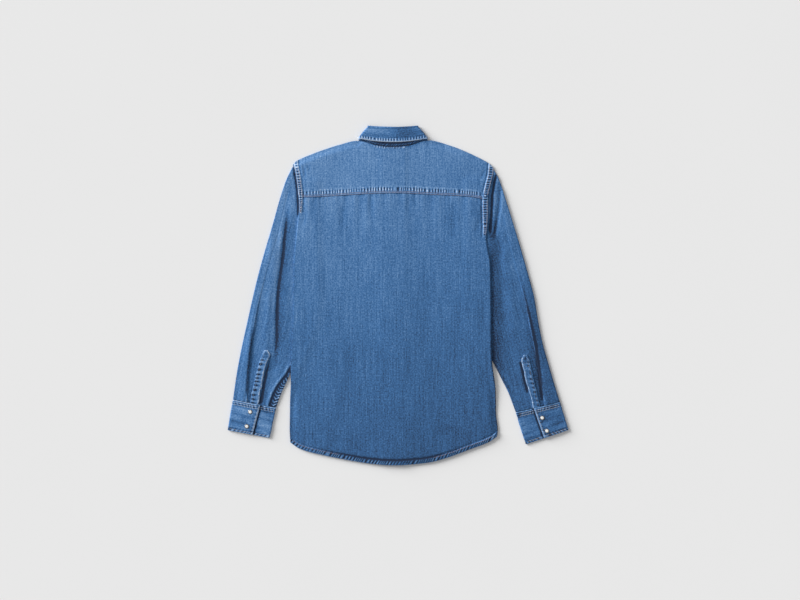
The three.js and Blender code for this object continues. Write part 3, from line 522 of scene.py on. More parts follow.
class Looks:
    """A material under construction"""

    def __init__(self, name):
        self.material = bpy.data.materials.new(name)
        self.material.use_nodes = True
        self.tree = self.material.node_tree
        self.tree.nodes.clear()

    def node(self, kind, settings=None, inputs=(), output=0):
        """Adds a node. inputs is a tuple in the order of its sockets, or a dictionary by name."""
        made = self.tree.nodes.new(kind)
        for key, value in (settings or {}).items():
            if key == "stops":
                self.set_stops(made.color_ramp, value)
            else:
                setattr(made, key, value)
        named = inputs.items() if isinstance(inputs, dict) else enumerate(inputs)
        for key, value in named:
            if isinstance(value, Socket):
                self.tree.links.new(value.output, made.inputs[key])
            else:
                made.inputs[key].default_value = value
        return Socket(self, made.outputs[output]) if made.outputs else None

    @staticmethod
    def set_stops(ramp, stops):
        while len(ramp.elements) < len(stops):
            ramp.elements.new(1)
        for element, (place, colour) in zip(ramp.elements, stops):
            element.position = place
            element.color = colour

    def place(self):
        return self.node("ShaderNodeTexCoord", {}, (), "Object")

    def mapped(self, source, scale, turn=0.0):
        settings = {"Vector": source, "Scale": scale, "Rotation": (0, 0, turn)}
        return self.node("ShaderNodeMapping", {}, settings)

    def noise(self, source, scale, detail=2.0, rough=0.5):
        inputs = {"Vector": source, "Scale": scale, "Detail": detail, "Roughness": rough}
        return self.node("ShaderNodeTexNoise", {}, inputs)

    def mixed(self, factor, first, second):
        inputs = {"Factor": factor, 6: first, 7: second}
        return self.node("ShaderNodeMix", {"data_type": "RGBA"}, inputs, 2)

    def clouded(self, colour, scale, detail, dim):
        """Noise over the object, and a colour that it varies between dim and full"""
        noise = self.noise(self.place(), scale, detail)
        dimmed = [c * dim for c in colour[:3]] + [1]
        return noise, self.mixed(noise, dimmed, colour)

    def surface(self, shader_inputs):
        shader = self.node("ShaderNodeBsdfPrincipled", {}, shader_inputs)
        self.node("ShaderNodeOutputMaterial", {}, {"Surface": shader})
        return self.material


def denim(name, colours):
    """Washed denim: pale where its wear attribute, which also carries painted shade, is high, with slubs
    along the cloth's length, and painted light that makes it paler towards the top and the left and darker
    towards the bottom and the right
    """
    looks = Looks(name)
    cloth = looks.node("ShaderNodeUVMap", {"uv_map": "cloth"})
    # The attribute read here is the cloth's wear with painted shade and painted highlights in it
    wear = looks.node("ShaderNodeAttribute", {"attribute_name": "wear"}, (), "Fac")
    long_slubs = looks.noise(looks.mapped(cloth, (300, 10, 1)), 1.0, 1.0, 0.5)
    short_slubs = looks.noise(looks.mapped(cloth, (260, 75, 1), 0.02), 1.0, 1.0, 0.5)
    speckle = looks.noise(looks.mapped(cloth, (330, 270, 1)), 1.0, 1.5, 0.6)
    blotches = looks.noise(looks.mapped(cloth, (26, 17, 1)), 1.0, 3.0, 0.6)
    twill = looks.node(
        "ShaderNodeTexWave", {"wave_type": "BANDS", "bands_direction": "DIAGONAL"},
        {"Vector": cloth, "Scale": 330.0, "Distortion": 1.5, "Detail": 1.0, "Detail Scale": 2.0}, 1,
    )
    grain = (long_slubs - 0.5) * 0.34 + (short_slubs - 0.5) * 0.22 + (speckle - 0.5) * 0.85
    grain = grain + (blotches - 0.5) * 0.16 + (twill - 0.5) * 0.06
    place = looks.place()
    across = looks.node("ShaderNodeSeparateXYZ", {}, (place,), 0)
    along = looks.node("ShaderNodeSeparateXYZ", {}, (place,), 1)
    # Painted light: paler towards the top and the left, where the light comes from, and darker towards the
    # bottom and the right
    painted_light_slope = along * 0.4 - across * 0.18
    paleness = (grain + painted_light_slope + wear * 0.5 + 0.425).clamped()
    stops = [(0.0, colours.darkest), (0.42, colours.cloth), (0.75, colours.worn), (1.0, colours.palest)]
    colour = looks.node("ShaderNodeValToRGB", {"stops": stops}, (paleness,))
    # Painted light again: the colour is scaled brighter towards the upper left and darker towards the lower
    # right
    painted_light_scale = 1.0 + along * 0.12 - across * 0.14
    painted_light_colour = looks.node("ShaderNodeVectorMath", {"operation": "SCALE"}, {0: colour, "Scale": painted_light_scale})
    relief = twill * 0.35 + speckle * 0.5 + short_slubs * 0.35
    bump = looks.node("ShaderNodeBump", {}, {"Strength": 0.35, "Distance": 0.0006, "Height": relief})
    return looks.surface({
        "Base Color": painted_light_colour, "Roughness": 0.9, "Normal": bump,
        "Sheen Weight": 0.12, "Sheen Roughness": 0.5, "Specular IOR Level": 0.25,
    })


def thread(name, colour):
    """Sewing thread: a fine twist along the strand"""
    looks = Looks(name)
    _, twisted = looks.clouded(colour, 900.0, 2.0, 0.72)
    return looks.surface({"Base Color": twisted, "Roughness": 0.75})


def pearl(name, colour):
    """A snap's pearl cap: creamy, with faint clouds, under a clear coat"""
    looks = Looks(name)
    _, clouds = looks.clouded(colour, 420.0, 2.0, 0.86)
    return looks.surface({"Base Color": clouds, "Roughness": 0.28, "Coat Weight": 0.6, "Coat Roughness": 0.1})


def nickel(name, colour):
    """Plated rim with fine tarnish"""
    looks = Looks(name)
    tarnish, dulled = looks.clouded(colour, 700.0, 3.0, 0.6)
    return looks.surface({"Base Color": dulled, "Metallic": 1.0, "Roughness": tarnish * 0.25 + 0.22})


def paper(name, colour):
    """The plain pale surface that the shirt lies on"""
    looks = Looks(name)
    _, tone = looks.clouded(colour, 3.0, 2.0, 0.985)
    return looks.surface({"Base Color": tone, "Roughness": 0.9})


def material(name):
    """One of the shirt's materials, made when it is first asked for"""
    if name in bpy.data.materials:
        return bpy.data.materials[name]
    colours = bpy.context.scene.shirt_colours
    if name == "washed_denim":
        return denim(name, colours)
    make = {"pearl": pearl, "nickel": nickel, "paper": paper}.get(name, thread)
    return make(name, getattr(colours, name))


def dress(piece, look, slot, *nodes):
    """Gives a piece its material and body, and hides the CAD nodes that it stands for; slot is not used"""
    piece.data.materials.append(material(look))
    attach(piece, "root")
    if nodes:
        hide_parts(*nodes)
    return piece


# Seam details on the body: each gives a height, and a paleness from dark -1 to pale 1 that is wear and, in
# some, shade painted into their grooves

PUCKER = {"yoke": 6.6, "armhole": 5.6, "hem": 6.8, "neck": 6.0, "collar": 6.6, "cuff": 7.0, "placket": 10.5}


def ridge_and_wear(ridges, across, height, pale=0.9, dark=0.8):
    """Puckered cloth: its ridges stand up and are worn pale, and the dips between stay dark"""
    bars = np.tanh(1.8 * ridges) * 1.6
    wear = pale * np.maximum(bars, 0) - dark * np.maximum(-bars, 0)
    return height * ridges * across, wear * across


def folded_edge(d, width=2.6, drop=0.9):
    """How far a folded edge is rounded down at a distance in from it"""
    t = np.clip(1 - d / width, 0, 1)
    return -drop * (1 - np.sqrt(1 - t * t))


def creases(table, x, y):
    """The depth of soft creases, each a row of its two ends, depth and half width"""
    total = 0
    for (x1, y1), (x2, y2), depth, half in table:
        length = math.hypot(x2 - x1, y2 - y1)
        ux, uy = (x2 - x1) / length, (y2 - y1) / length
        along = (x - x1) * ux + (y - y1) * uy
        off = (x - x1) * uy - (y - y1) * ux
        bend = 0.8 * half * np.sin(along / length * 5)
        ends = rise(along / (0.3 * length)) * rise((length - along) / (0.3 * length))
        total = total + depth * ends * bell((off + bend) / half)
    return total


def fell_width(y, end):
    """The armhole's felled seam narrows towards its lower end"""
    return FELL_WIDTH * mix(0.6, 1, rise((y - end) / 60))


def armhole_band(x, y):
    """The armholes' felled seams: seed, distance in, lower end, first stitch row, and how dark the shade
    painted in the edge groove is, of each
    """
    height, wear = 0, 0
    sides = (
        (11, x - side_left(y), ARMHOLE_END["left"], 4.0, 2.2),
        (12, side_right(y) - x, ARMHOLE_END["right"], 0.8, 0.0),
    )
    for seed, d, end, first, groove in sides:
        shown = rise((y - end + 6) / 20)
        width = fell_width(y, end)
        middle, half = (first + width) / 2, (width - first) * 0.4
        bars = puckers(y, PUCKER["armhole"], seed, 0.6)
        raised, worn = ridge_and_wear(bars, bell((d - middle) / half), 0.42, 0.45, 1.15)
        raised = raised + FELL * (1 - rise((d - width) / 2)) - 0.5 * bell((d - width - 2.5) / 2)
        lines = 0.9 * bell((d - first) / 1.4) + 0.95 * bell((d - width + 0.3) / 1.5)
        # Painted shade in the dip beside the band, and, by the groove value, in the trough at the body's edge
        lines = lines - 0.3 * bell((d - middle) / half) - 0.5 * bell((d - width - 3) / 2)
        lines = lines - groove * bell(d / 1.6)
        lines = lines + 0.9 * bell((y - 706) / 7) * bell((d - 4) / 6)
        height = height + raised * shown
        wear = wear + (worn + lines) * shown
    return height, wear


def hem_band(x, y):
    """The hem, roped by its stitching; in the middle of the back it is darker and less worn, and shade is
    painted in the groove above it
    """
    d = y - hem(x)
    roping = puckers(x - 0.6 * d, PUCKER["hem"], 21, 0.7)
    middle = bell((x + 10) / 165)
    raised, worn = ridge_and_wear(roping, bell((d - 5) / 4.8), 0.5, 1, 1)
    weight = np.where(worn > 0, mix(0.8, 0.5, middle), mix(0.85, 1.05, middle))
    worn = worn * weight * (0.8 + 0.35 * wander(x, 26, 24))
    groove = (0.5 + 1.1 * middle) * bell((d - HEM_WIDTH - 2) / 2.4)
    # Painted shade in the groove above the middle of the hem
    worn = worn - 1.5 * middle * bell((d - HEM_WIDTH - 1) / 2.2) + 0.8 * (1 - middle) * bell((d - 11) / 1.5)
    return hem_fold(x, y) + raised - groove, worn + 0.25 * bell(d / 1.6)


def yoke_band(x, y):
    """The yoke's lower edge, felled over the back and puckered above its stitches"""
    d = y - yoke_seam(x)
    band = FELL * (1 - rise((d - YOKE_BAND) / 2 + 1))
    bars = puckers(x, PUCKER["yoke"], 31, 0.7) * (0.8 + 0.35 * wander(x, 26, 33))
    raised, worn = ridge_and_wear(bars, bell((d - 10.5) / 4.8), 0.5, 0.6, 0.95)
    edge = 0.5 * bell((d - 17) / 1.6) * (0.6 + 0.4 * wander(x, 12, 34)) - 0.35 * bell(d / 1.2)
    return band + raised + folded_edge(d, 1.6, 0.6), worn + edge + 0.1 * bell((d - 3) / 2)


def neck_band(x, y):
    """The neck seam's worn fragments, in the collar's shade"""
    d = shoulder(x) - y
    shown = rise((x + 52) / 14) * rise((38 - x) / 14) * (0.7 + 0.5 * wander(x, 12, 42))
    bars = puckers(x, PUCKER["neck"], 41, 0.9)
    raised, worn = ridge_and_wear(bars, bell((d - 2.6) / 2), 0.5, 0.85, 0.4)
    shade = 1.1 * bell((x - 4) / 60) * bell((d + 0.4) / 1.5) + 0.25 * bell((x - 20) / 60) * bell(d / 8)
    return raised * shown, worn * shown - shade


def below_yoke(x, y):
    """The back gathers slightly where it is sewn to the yoke"""
    d = yoke_seam(x) - y
    fine = puckers(x, 13, 51, 0.8) * np.exp(-np.maximum(d, 0) / 16)
    broad = puckers(x, 37, 52, 0.9) * np.exp(-np.maximum(d, 0) / 60)
    return 0.25 * fine + 0.5 * broad, 0.12 * fine + 0.14 * broad


def slow_waves(x, y, seed):
    """The cloth's own unevenness as it lies: long low waves down its length"""
    across = wander(x + 0.15 * y, 46, seed) + 0.6 * wander(x - 0.1 * y, 23, seed + 1)
    return 0.22 * across * (0.7 + 0.3 * wander(y, 130, seed + 2)) + 0.16 * wander(y + 0.2 * x, 90, seed + 3)


YOKE_CREASES = [
    ((-215, 712), (-203, 672), 0.7, 3.2), ((-208, 716), (-192, 690), 0.45, 3.5),
    ((214, 706), (206, 668), 0.5, 3.5), ((-60, 722), (40, 716), 0.25, 9),
]
LOWER_CREASES = [
    ((-212, 616), (-206, 560), 0.5, 5), ((206, 620), (200, 540), 0.6, 6),
    ((-216, 420), (-200, 250), 0.35, 10), ((205, 430), (212, 300), 0.3, 9),
    ((-150, 60), (-60, 52), 0.3, 8), ((90, 70), (170, 96), 0.3, 9), ((-120, 330), (-96, 130), 0.3, 12),
    ((60, 470), (84, 260), 0.3, 13), ((150, 420), (140, 200), 0.3, 11), ((-30, 300), (-24, 90), 0.25, 12),
]


def top_layer(x, y, bands, seed, table):
    """The height of a body panel over its plain underside, and its wear with painted shade"""
    edge = np.minimum(x - side_left(y), side_right(y) - x)
    height = CLOTH + slow_waves(x, y, seed) * rise((edge - 6) / 30)
    wear = 0 * x
    for band in bands:
        raised, worn = band(x, y)
        height = height + raised
        wear = wear + worn
    depth = creases(table, x, y)
    height = height - depth + folded_edge(edge)
    # Painted shade: a dark line along the side edges below the armholes, where the edge rounds down; near the
    # armholes it is faintly pale instead
    side_edge_shade = mix(0.05, -0.45, rise((560 - y) / 90)) * bell(edge / 2.6) * rise((620 - y) / 30)
    # The creases are darkened with painted shade
    wear = wear - 0.3 * depth - 0.3 * back_crease(x, y) + side_edge_shade
    return np.maximum(height, 0.5), np.clip(wear, -1.4, 1)


def steps_to(end, pitch):
    return np.arange(0, end + 1e-6, pitch)


def steps_from(end, pitch):
    return steps_to(end, pitch)[::-1]


def body_panel(name, bottom, top, rows, bands, seed, table):
    columns = places(steps_to(14, 1.25), 330, steps_from(14, 1.25))
    x, y = panel_grid(side_left, side_right, bottom, top, columns, rows)
    under = back_under(x, y)
    height, wear = top_layer(x, y, bands, seed, table)
    return layer_wall(name, x, y, under + height, under, wear)


def back_piece():
    rows = places(steps_to(17, 1.1), 100, steps_from(95, 1.4))
    bands = (hem_band, armhole_band, below_yoke)
    return body_panel("back", hem, lambda x: yoke_seam(x) - SEAM, rows, bands, 61, LOWER_CREASES)


def yoke_piece():
    rows = places(steps_to(20, 1.2), 52, steps_from(14, 1.3))
    bands = (yoke_band, armhole_band, neck_band)
    return body_panel("yoke", yoke_seam, shoulder, rows, bands, 71, YOKE_CREASES)


def front_piece(name, left, right, under):
    columns = places([0], 130, [0])
    rows = places(steps_to(14, 1.4), 110, steps_from(112, 4.0))
    x, y = panel_grid(left, right, hem, front_top, columns, rows)
    base = under(x, y)
    d = y - hem(x)
    roped = bell((d - 4.6) / 4.2)
    raised, worn = ridge_and_wear(puckers(x - 0.85 * d, PUCKER["hem"], 22), roped, 0.25)
    lower = base + 0.25 * roped - raised
    return layer_wall(name, x, y, lower, base + front_cloth(x, y), worn + 0.3 * bell(d / 1.6))


def band_piece(name, under):
    columns = places(steps_to(8, 1.0), 14, steps_from(8, 1.0))
    rows = places([0], 260, [0])
    x, y = panel_grid(lambda y: -FRONT_BAND_HALF + 0 * y, lambda y: FRONT_BAND_HALF + 0 * y, hem,
                      lambda x: front_neck(0) - SEAM + 0 * x, columns, rows)
    base = under(x, y)
    d = FRONT_BAND_HALF - np.abs(x)
    raised, worn = ridge_and_wear(puckers(y, PUCKER["placket"], 23), bell((d - 3.5) / 2.5), 0.12)
    return layer_wall(name, x, y, base + 0.12 - raised, base + BAND, worn + 0.3 * bell(d / 1.4))


# Sleeves

def sleeve_level(x, y):
    """The middle of a sleeve's upper layer"""
    outside = np.maximum(side_left(y) - x, x - side_right(y))
    z = mix(SLEEVE_TUCKED, SLEEVE_BED, rise((outside - 4) / 16))
    free = rise((outside - 4) / 8)
    for (x1, y1), (x2, y2), depth, half, ridge in SLEEVE_TROUGHS:
        dx, dy = x2 - x1, y2 - y1
        t = ((x - x1) * dx + (y - y1) * dy) / (dx * dx + dy * dy)
        past = np.maximum(np.maximum(-t, t - 1), 0) * math.hypot(dx, dy)
        out = (np.abs(x) - np.abs(mix(x1, x2, np.clip(t, 0, 1)))) / half
        shape = bell(past / 30) * (ridge * bell(out - 1.9) - depth * bell(out))
        z = z + np.where(x1 * x > 0, free * shape, 0)
    return np.maximum(z, np.where(outside > 0, SLEEVE_LOWEST, SLEEVE_TUCKED))


def turn_points(x, start, end, out, steps):
    """Half a circle of points from one level to another, bulging out by the radius"""
    radius = abs(end - start) / 2
    angle = np.pi * np.arange(1, steps) / steps
    return x + out * radius * np.sin(angle), mix(start, end, (1 - np.cos(angle)) / 2)


def pleat_points(bend, turn, tuck, steps):
    """The pleat: down from the outer strip's edge, back under it, and on to the lower level"""
    turn = math.radians(turn)
    x, z, heading = 0.0, 0.0, 0.0
    points = [(0.0, 0.0)]
    chord = 2 * bend * math.sin(turn / steps / 2)
    for way in (1, -1):
        for _ in range(steps):
            heading += way * turn / steps / 2
            x += chord * math.cos(heading)
            z -= chord * math.sin(heading)
            points.append((x, z))
            heading += way * turn / steps / 2
        if way == 1:
            x += tuck * math.cos(heading)
            z -= tuck * math.sin(heading)
            points.append((x, z))
    return np.array(points)


SLEEVE_RINGS = 190
LOWEST_DIP = 0.55  # no dip goes deeper into the cloth than this
SLEEVE_STEPS = {"below": 26, "above": 64, "strip": 16, "turn": 7, "pleat": 8}


def sleeve_section(row, place, length):
    """One section of a sleeve, as points of the wall's middle: across from the outer edge, and up"""
    low = CLOTH / 2
    pleat = pleat_points(row["bend"], row["turn"], row["tuck"], SLEEVE_STEPS["pleat"])
    back_x, drop = pleat[-1][0], -pleat[-1][1]
    edge = row["edge"] * length

    def level_at(a):
        return sleeve_level(*place(np.clip(a / length, 0, 1)))

    lower = mix(float(level_at(edge + back_x)), PLEAT_BED, float(rise(row["turn"] / 90)))
    upper = lower + drop
    inner_turn = (SLEEVE_TUCKED - low) / 2
    outer_top = min(upper, SLEEVE_EDGE_TOP)
    outer_turn = (outer_top - low) / 2
    share = np.arange(SLEEVE_STEPS["below"] + 1) / SLEEVE_STEPS["below"]
    parts = [(mix(outer_turn, length - inner_turn, share), low + 0 * share)]
    parts.append(turn_points(length - inner_turn, low, SLEEVE_TUCKED, 1, SLEEVE_STEPS["turn"]))
    share = np.arange(SLEEVE_STEPS["above"]) / SLEEVE_STEPS["above"]
    a = mix(length - inner_turn, edge + back_x, share)
    level = mix(level_at(a), lower, rise(share * 4 - 3))
    parts.append((a, mix(SLEEVE_TUCKED, level, rise(share * 3))))
    parts.append((edge + pleat[::-1, 0], upper + pleat[::-1, 1]))
    share = np.arange(1, SLEEVE_STEPS["strip"] + 1) / SLEEVE_STEPS["strip"]
    parts.append((mix(edge, outer_turn, share), mix(upper, outer_top, rise(share * 1.4 - 0.4))))
    parts.append(turn_points(outer_turn, outer_top, low, -1, SLEEVE_STEPS["turn"]))
    return np.concatenate([np.stack(part, -1) for part in parts])


def sideways(path, closed):
    """The direction out of a path, at each of its points"""
    if closed:
        before, after = np.roll(path, 1, 0), np.roll(path, -1, 0)
    else:
        before = np.concatenate([2 * path[:1] - path[1:2], path[:-1]])
        after = np.concatenate([path[1:], 2 * path[-1:] - path[-2:-1]])
    along = unit(unit(path - before) + unit(after - path))
    return np.stack([along[:, 1], -along[:, 0]], -1)


# Folds along the sleeves, each a line down the sleeve. ridge: how much the outer side stands up.
# depth, half: the dip on the inner side. dark: how dark the shade painted along the line is. pale: how pale
# the ridge is, worn and with a painted highlight.
# valley, reach: the broad painted shade, and how far inwards it goes. tail: a painted shade that fades from
# the line.
# fade, end_fade: how long the two ends take to fade. A fold that doesn't say has these values:
PLAIN_FOLD = {"ridge": 0, "depth": 0.5, "pale": 0.2, "valley": 0, "reach": 1, "tail": 0}
UNDERARM = [
    (-233, 244), (-240, 235), (-251, 216), (-266, 197), (-275, 183), (-282, 169), (-289, 150), (-293, 132),
]
LEFT_FOLDS = [
    {"line": [(-248, 620), (-251, 590), (-255, 555), (-259.5, 505), (-263.5, 472), (-269, 437), (-273, 400),
              (-274.5, 360), (-275, 308), (-278, 250), (-281, 215)],
     "ridge": 0.8, "half": 5, "dark": 0.95, "valley": 0.24, "reach": 34, "tail": 0.75, "fade": 75,
     "end_fade": 110},
    {"line": [(-326, 345), (-331.5, 308), (-336.5, 273), (-341.5, 226), (-343.5, 190), (-345, 158)],
     "ridge": 0.4, "depth": 0.2, "half": 2.4, "dark": 1.25, "valley": 0.15, "reach": 10, "fade": 50,
     "end_fade": 25},
    {"line": [(-327, 190), (-338, 157)],
     "ridge": 0.6, "depth": 0.4, "half": 3, "dark": 0.6, "fade": 12},
    # Painted shadow beside the left placket's right edge
    {"line": [(-286, 266), (-291, 247), (-298.5, 221), (-302, 200), (-304, 188), (-308.5, 164), (-313, 146)],
     "depth": 0.4, "half": 3.2, "dark": 2.3, "valley": 0.3, "reach": 12, "fade": 75, "end_fade": 6},
    # Painted shade in the trough beside the left armhole seam
    {"line": [(-235, 700), (-229, 667), (-226, 644), (-224, 613), (-224, 584)],
     "ridge": 0.4, "half": 3.6, "dark": 1.7, "fade": 12},
    {"line": [(-247, 668), (-249, 620)],
     "ridge": 0.5, "depth": 0.3, "half": 6, "dark": 0.2, "valley": 0.15, "reach": 12, "fade": 30},
    # The underarm seam, with painted shade in its groove
    {"line": UNDERARM,
     "ridge": 1.0, "half": 3, "dark": 2.1, "pale": 0.45, "valley": 0.6, "reach": 14, "fade": 6},
]
RIGHT_FOLDS = [
    {"line": [(292, 492), (309, 414), (321, 357), (332, 308), (337, 282), (343, 237), (348.5, 190),
              (353, 150)],
     "ridge": 0.3, "half": 4.5, "dark": 1.3, "pale": 0, "valley": 0.1, "reach": 16, "tail": 0.4, "fade": 230,
     "end_fade": 20},
    # Painted shadow beside the right placket's left edge
    {"line": [(299.5, 247), (305.5, 221), (310.5, 197), (317, 172)],
     "depth": 0.4, "half": 2.6, "dark": 2.1, "valley": 0.2, "reach": 10, "fade": 8},
    {"line": [(237, 235), (256, 212), (280, 174)],
     "ridge": 0.5, "depth": 0.4, "half": 5, "dark": 0.3, "fade": 20},
    # Painted shade in two troughs beside the right armhole seam
    {"line": [(244, 689), (238, 660), (234, 634), (233, 606), (231, 575), (229, 545)],
     "ridge": 0.8, "half": 3.8, "dark": 1.8, "fade": 14},
    {"line": [(252, 668), (251, 634), (249, 606), (243, 569), (236, 524)],
     "ridge": 0.9, "depth": 0.6, "half": 5, "dark": 0.6, "fade": 25},
    # Painted shadow that the body's edge casts on the sleeve
    {"line": [(238, 200), (234, 240), (231, 330), (231, 420), (229, 500), (223, 560), (219, 590)],
     "half": 5, "dark": 0.35, "valley": 0.46, "reach": 40, "fade": 30, "end_fade": 35},
]


def beside_line(line, x, y):
    """Distance from a bent line, positive on its right as it runs, and how far along it"""
    best = np.full(np.shape(x), 1e9)
    signed = np.zeros(np.shape(x))
    along = np.zeros(np.shape(x))
    start = 0
    for (x1, y1), (x2, y2) in zip(line, line[1:]):
        length = math.hypot(x2 - x1, y2 - y1)
        ux, uy = (x2 - x1) / length, (y2 - y1) / length
        t = (x - x1) * ux + (y - y1) * uy
        off = (x - x1) * uy - (y - y1) * ux
        distance = np.hypot(off, t - np.clip(t, 0, length))
        nearer = distance < best
        best = np.where(nearer, distance, best)
        signed = np.where(nearer, np.where(off < 0, -distance, distance), signed)
        along = np.where(nearer, start + np.clip(t, 0, length), along)
        start += length
    return signed, along, start


def folds(table, side, x, y):
    """The height, and the wear and painted shade, that the folds give a sleeve"""
    height, wear = 0, 0
    for given in table:
        fold = {**PLAIN_FOLD, "end_fade": given["fade"], **given}
        signed, along, length = beside_line(fold["line"], x, y)
        inward = side * signed
        half = fold["half"]
        ends = rise((along + 1) / fold["fade"]) * rise((length - along + 1) / fold["end_fade"])
        ridge = bell((inward + 1.3 * half) / half)
        shape = fold["ridge"] * ridge - fold["depth"] * bell(inward / half)
        broad = rise(inward / half) * (1 - rise((inward - half) / fold["reach"]))
        tail = fold["tail"] * rise(inward / half + 0.5) * np.exp(-np.maximum(inward, 0) / 8)
        height = height + ends * shape
        # The ridge is pale with wear and a painted highlight; the dark line, the valley and the tail are
        # painted shade
        pale = fold["pale"] * fold["ridge"] * ridge
        dark = fold["dark"] * bell((inward - 0.3 * half) / (0.75 * half))
        wear = wear + ends * (pale - dark - fold["valley"] * broad - tail)
    return height, wear


def underarm(x, y):
    """The left sleeve's underarm seam, puckered from its groove out to the edge"""
    signed, along, _ = beside_line(UNDERARM, x, y)
    inward = -signed
    inside = rise((inward - 3) / 2) * rise((along + 4) / 8)
    across = np.abs((inward - 9 - 1.5 * wander(along, 9, 142)) / 8)
    zigzag = np.cos(2 * np.pi * (along / 8.2 + 0.45 * wander(along, 19, 141) + 0.8 * across))
    return inside * 0.5 * zigzag, inside * (1.7 * np.maximum(np.tanh(2 * zigzag), -0.2) - 0.6)


LEFT_SLEEVE_CREASES = [
    ((-256, 250), (-300, 214), 0.7, 4), ((-262, 300), (-296, 262), 0.4, 7),
    ((-330, 190), (-346, 158), 0.6, 4), ((-300, 200), (-290, 160), 0.5, 5),
    ((-262, 480), (-240, 420), 0.4, 8), ((-300, 430), (-284, 360), 0.35, 8),
    ((-286, 560), (-262, 520), 0.35, 7), ((-243, 330), (-262, 270), 0.45, 6),
]
RIGHT_SLEEVE_CREASES = [
    ((258, 300), (284, 240), 0.5, 7), ((262, 260), (300, 206), 0.5, 6), ((300, 176), (312, 142), 0.5, 4),
    ((244, 420), (258, 350), 0.4, 8), ((262, 560), (252, 470), 0.45, 6), ((290, 470), (300, 380), 0.35, 9),
    ((350, 190), (362, 160), 0.4, 5), ((236, 300), (262, 240), 0.45, 6), ((272, 200), (292, 150), 0.4, 6),
]


def sleeve_piece(name, rows, side, table):
    """A sleeve as rings from the armhole to the cuff; side is -1 on the left and 1 on the right"""
    read = {key: curve(np.arange(len(values)), values) for key, values in rows.items()}
    seam_x = side_left if side < 0 else side_right
    seam_end = ARMHOLE_END["left" if side < 0 else "right"]
    first = {key: float(values[0]) for key, values in rows.items()}
    slope = math.hypot(rows["out_x"][-1] - rows["out_x"][2], rows["out_y"][-1] - rows["out_y"][2])
    lean = ((rows["out_x"][2] - rows["out_x"][-1]) / slope, (rows["out_y"][2] - rows["out_y"][-1]) / slope)
    outer, inner, uv, wear = [], [], [], []
    for i in range(SLEEVE_RINGS):
        t = (len(rows["edge"]) - 1) * i / (SLEEVE_RINGS - 1)
        row = {key: float(value(t)) for key, value in read.items()}
        follow = max(1 - t / ARMHOLE_REACH, 0) ** 1.5

        def place(share):
            y0 = mix(first["out_y"], first["in_y"], share)
            hidden = rise((seam_end + HIDING["above"] - y0) / HIDING["over"])
            straight = mix(first["out_x"], first["in_x"], share)
            bow = (mix(seam_x(y0) + side * SEAM * 2, straight, hidden) - straight) * follow
            return mix(row["out_x"], row["in_x"], share) + bow, mix(row["out_y"], row["in_y"], share)

        length = math.hypot(row["in_x"] - row["out_x"], row["in_y"] - row["out_y"])
        path = sleeve_section(row, place, length)
        out = sideways(path, True)
        x, y = place(path[:, 0] / length)
        upper = rise((path[:, 1] - 1.6) / 0.6)
        shown = upper * rise((np.maximum(side_left(y) - x, x - side_right(y)) - 1) / 6)
        depth = creases(table, x, y)
        waves = wander(t * 58 + 0.4 * path[:, 0], 34, 81 + side) + wander(path[:, 0] - t * 9, 15, 85 + side)
        near_cuff = np.exp(-(len(rows["edge"]) - 1 - t) * 2.2)
        gathers = puckers(path[:, 0], 12, 91 + side, 0.8) * near_cuff
        near_arm = np.exp(-t * 2.5)
        eased = puckers(y, 15, 95 + side, 0.9) * near_arm
        folded, shaded = folds(LEFT_FOLDS if side < 0 else RIGHT_FOLDS, side, x, y)
        if side < 0:
            seam_height, seam_wear = underarm(x, y)
            folded, shaded = folded + seam_height, shaded + seam_wear
        detail = (0.2 * waves + 0.35 * gathers + 0.25 * eased - depth + folded) * shown
        detail = np.maximum(detail, LOWEST_DIP * np.tanh(detail / LOWEST_DIP))
        over = path + out * (CLOTH / 2) + np.stack([0 * detail, detail], -1)
        under = path - out * (CLOTH / 2)
        for grid, section in ((outer, over), (inner, under)):
            px, py = place(section[:, 0] / length)
            grid.append(np.stack([px, py, np.maximum(section[:, 1], 0)], -1))
        flat_x, flat_y = np.append(x, x[0]), np.append(y, y[0])
        uv.append(np.stack([flat_x * lean[1] - flat_y * lean[0], flat_x * lean[0] + flat_y * lean[1]], -1))
        fold = 0.45 * bell((path[:, 0] - row["edge"] * length) / 2.5) * rise(row["turn"] / 60 - 0.4)
        # Painted shade along the sleeve's outer edge, where the cloth turns down
        painted_rim_shade = -0.25 * bell(path[:, 0] / 3) * upper
        level = 0.06 * waves + 0.1 * gathers + fold + shaded
        wear.append(np.clip(level * upper + painted_rim_shade, -1.4, 1))
    return wall(name, *(np.array(grid) for grid in (outer, inner, uv, wear)), loops=True)


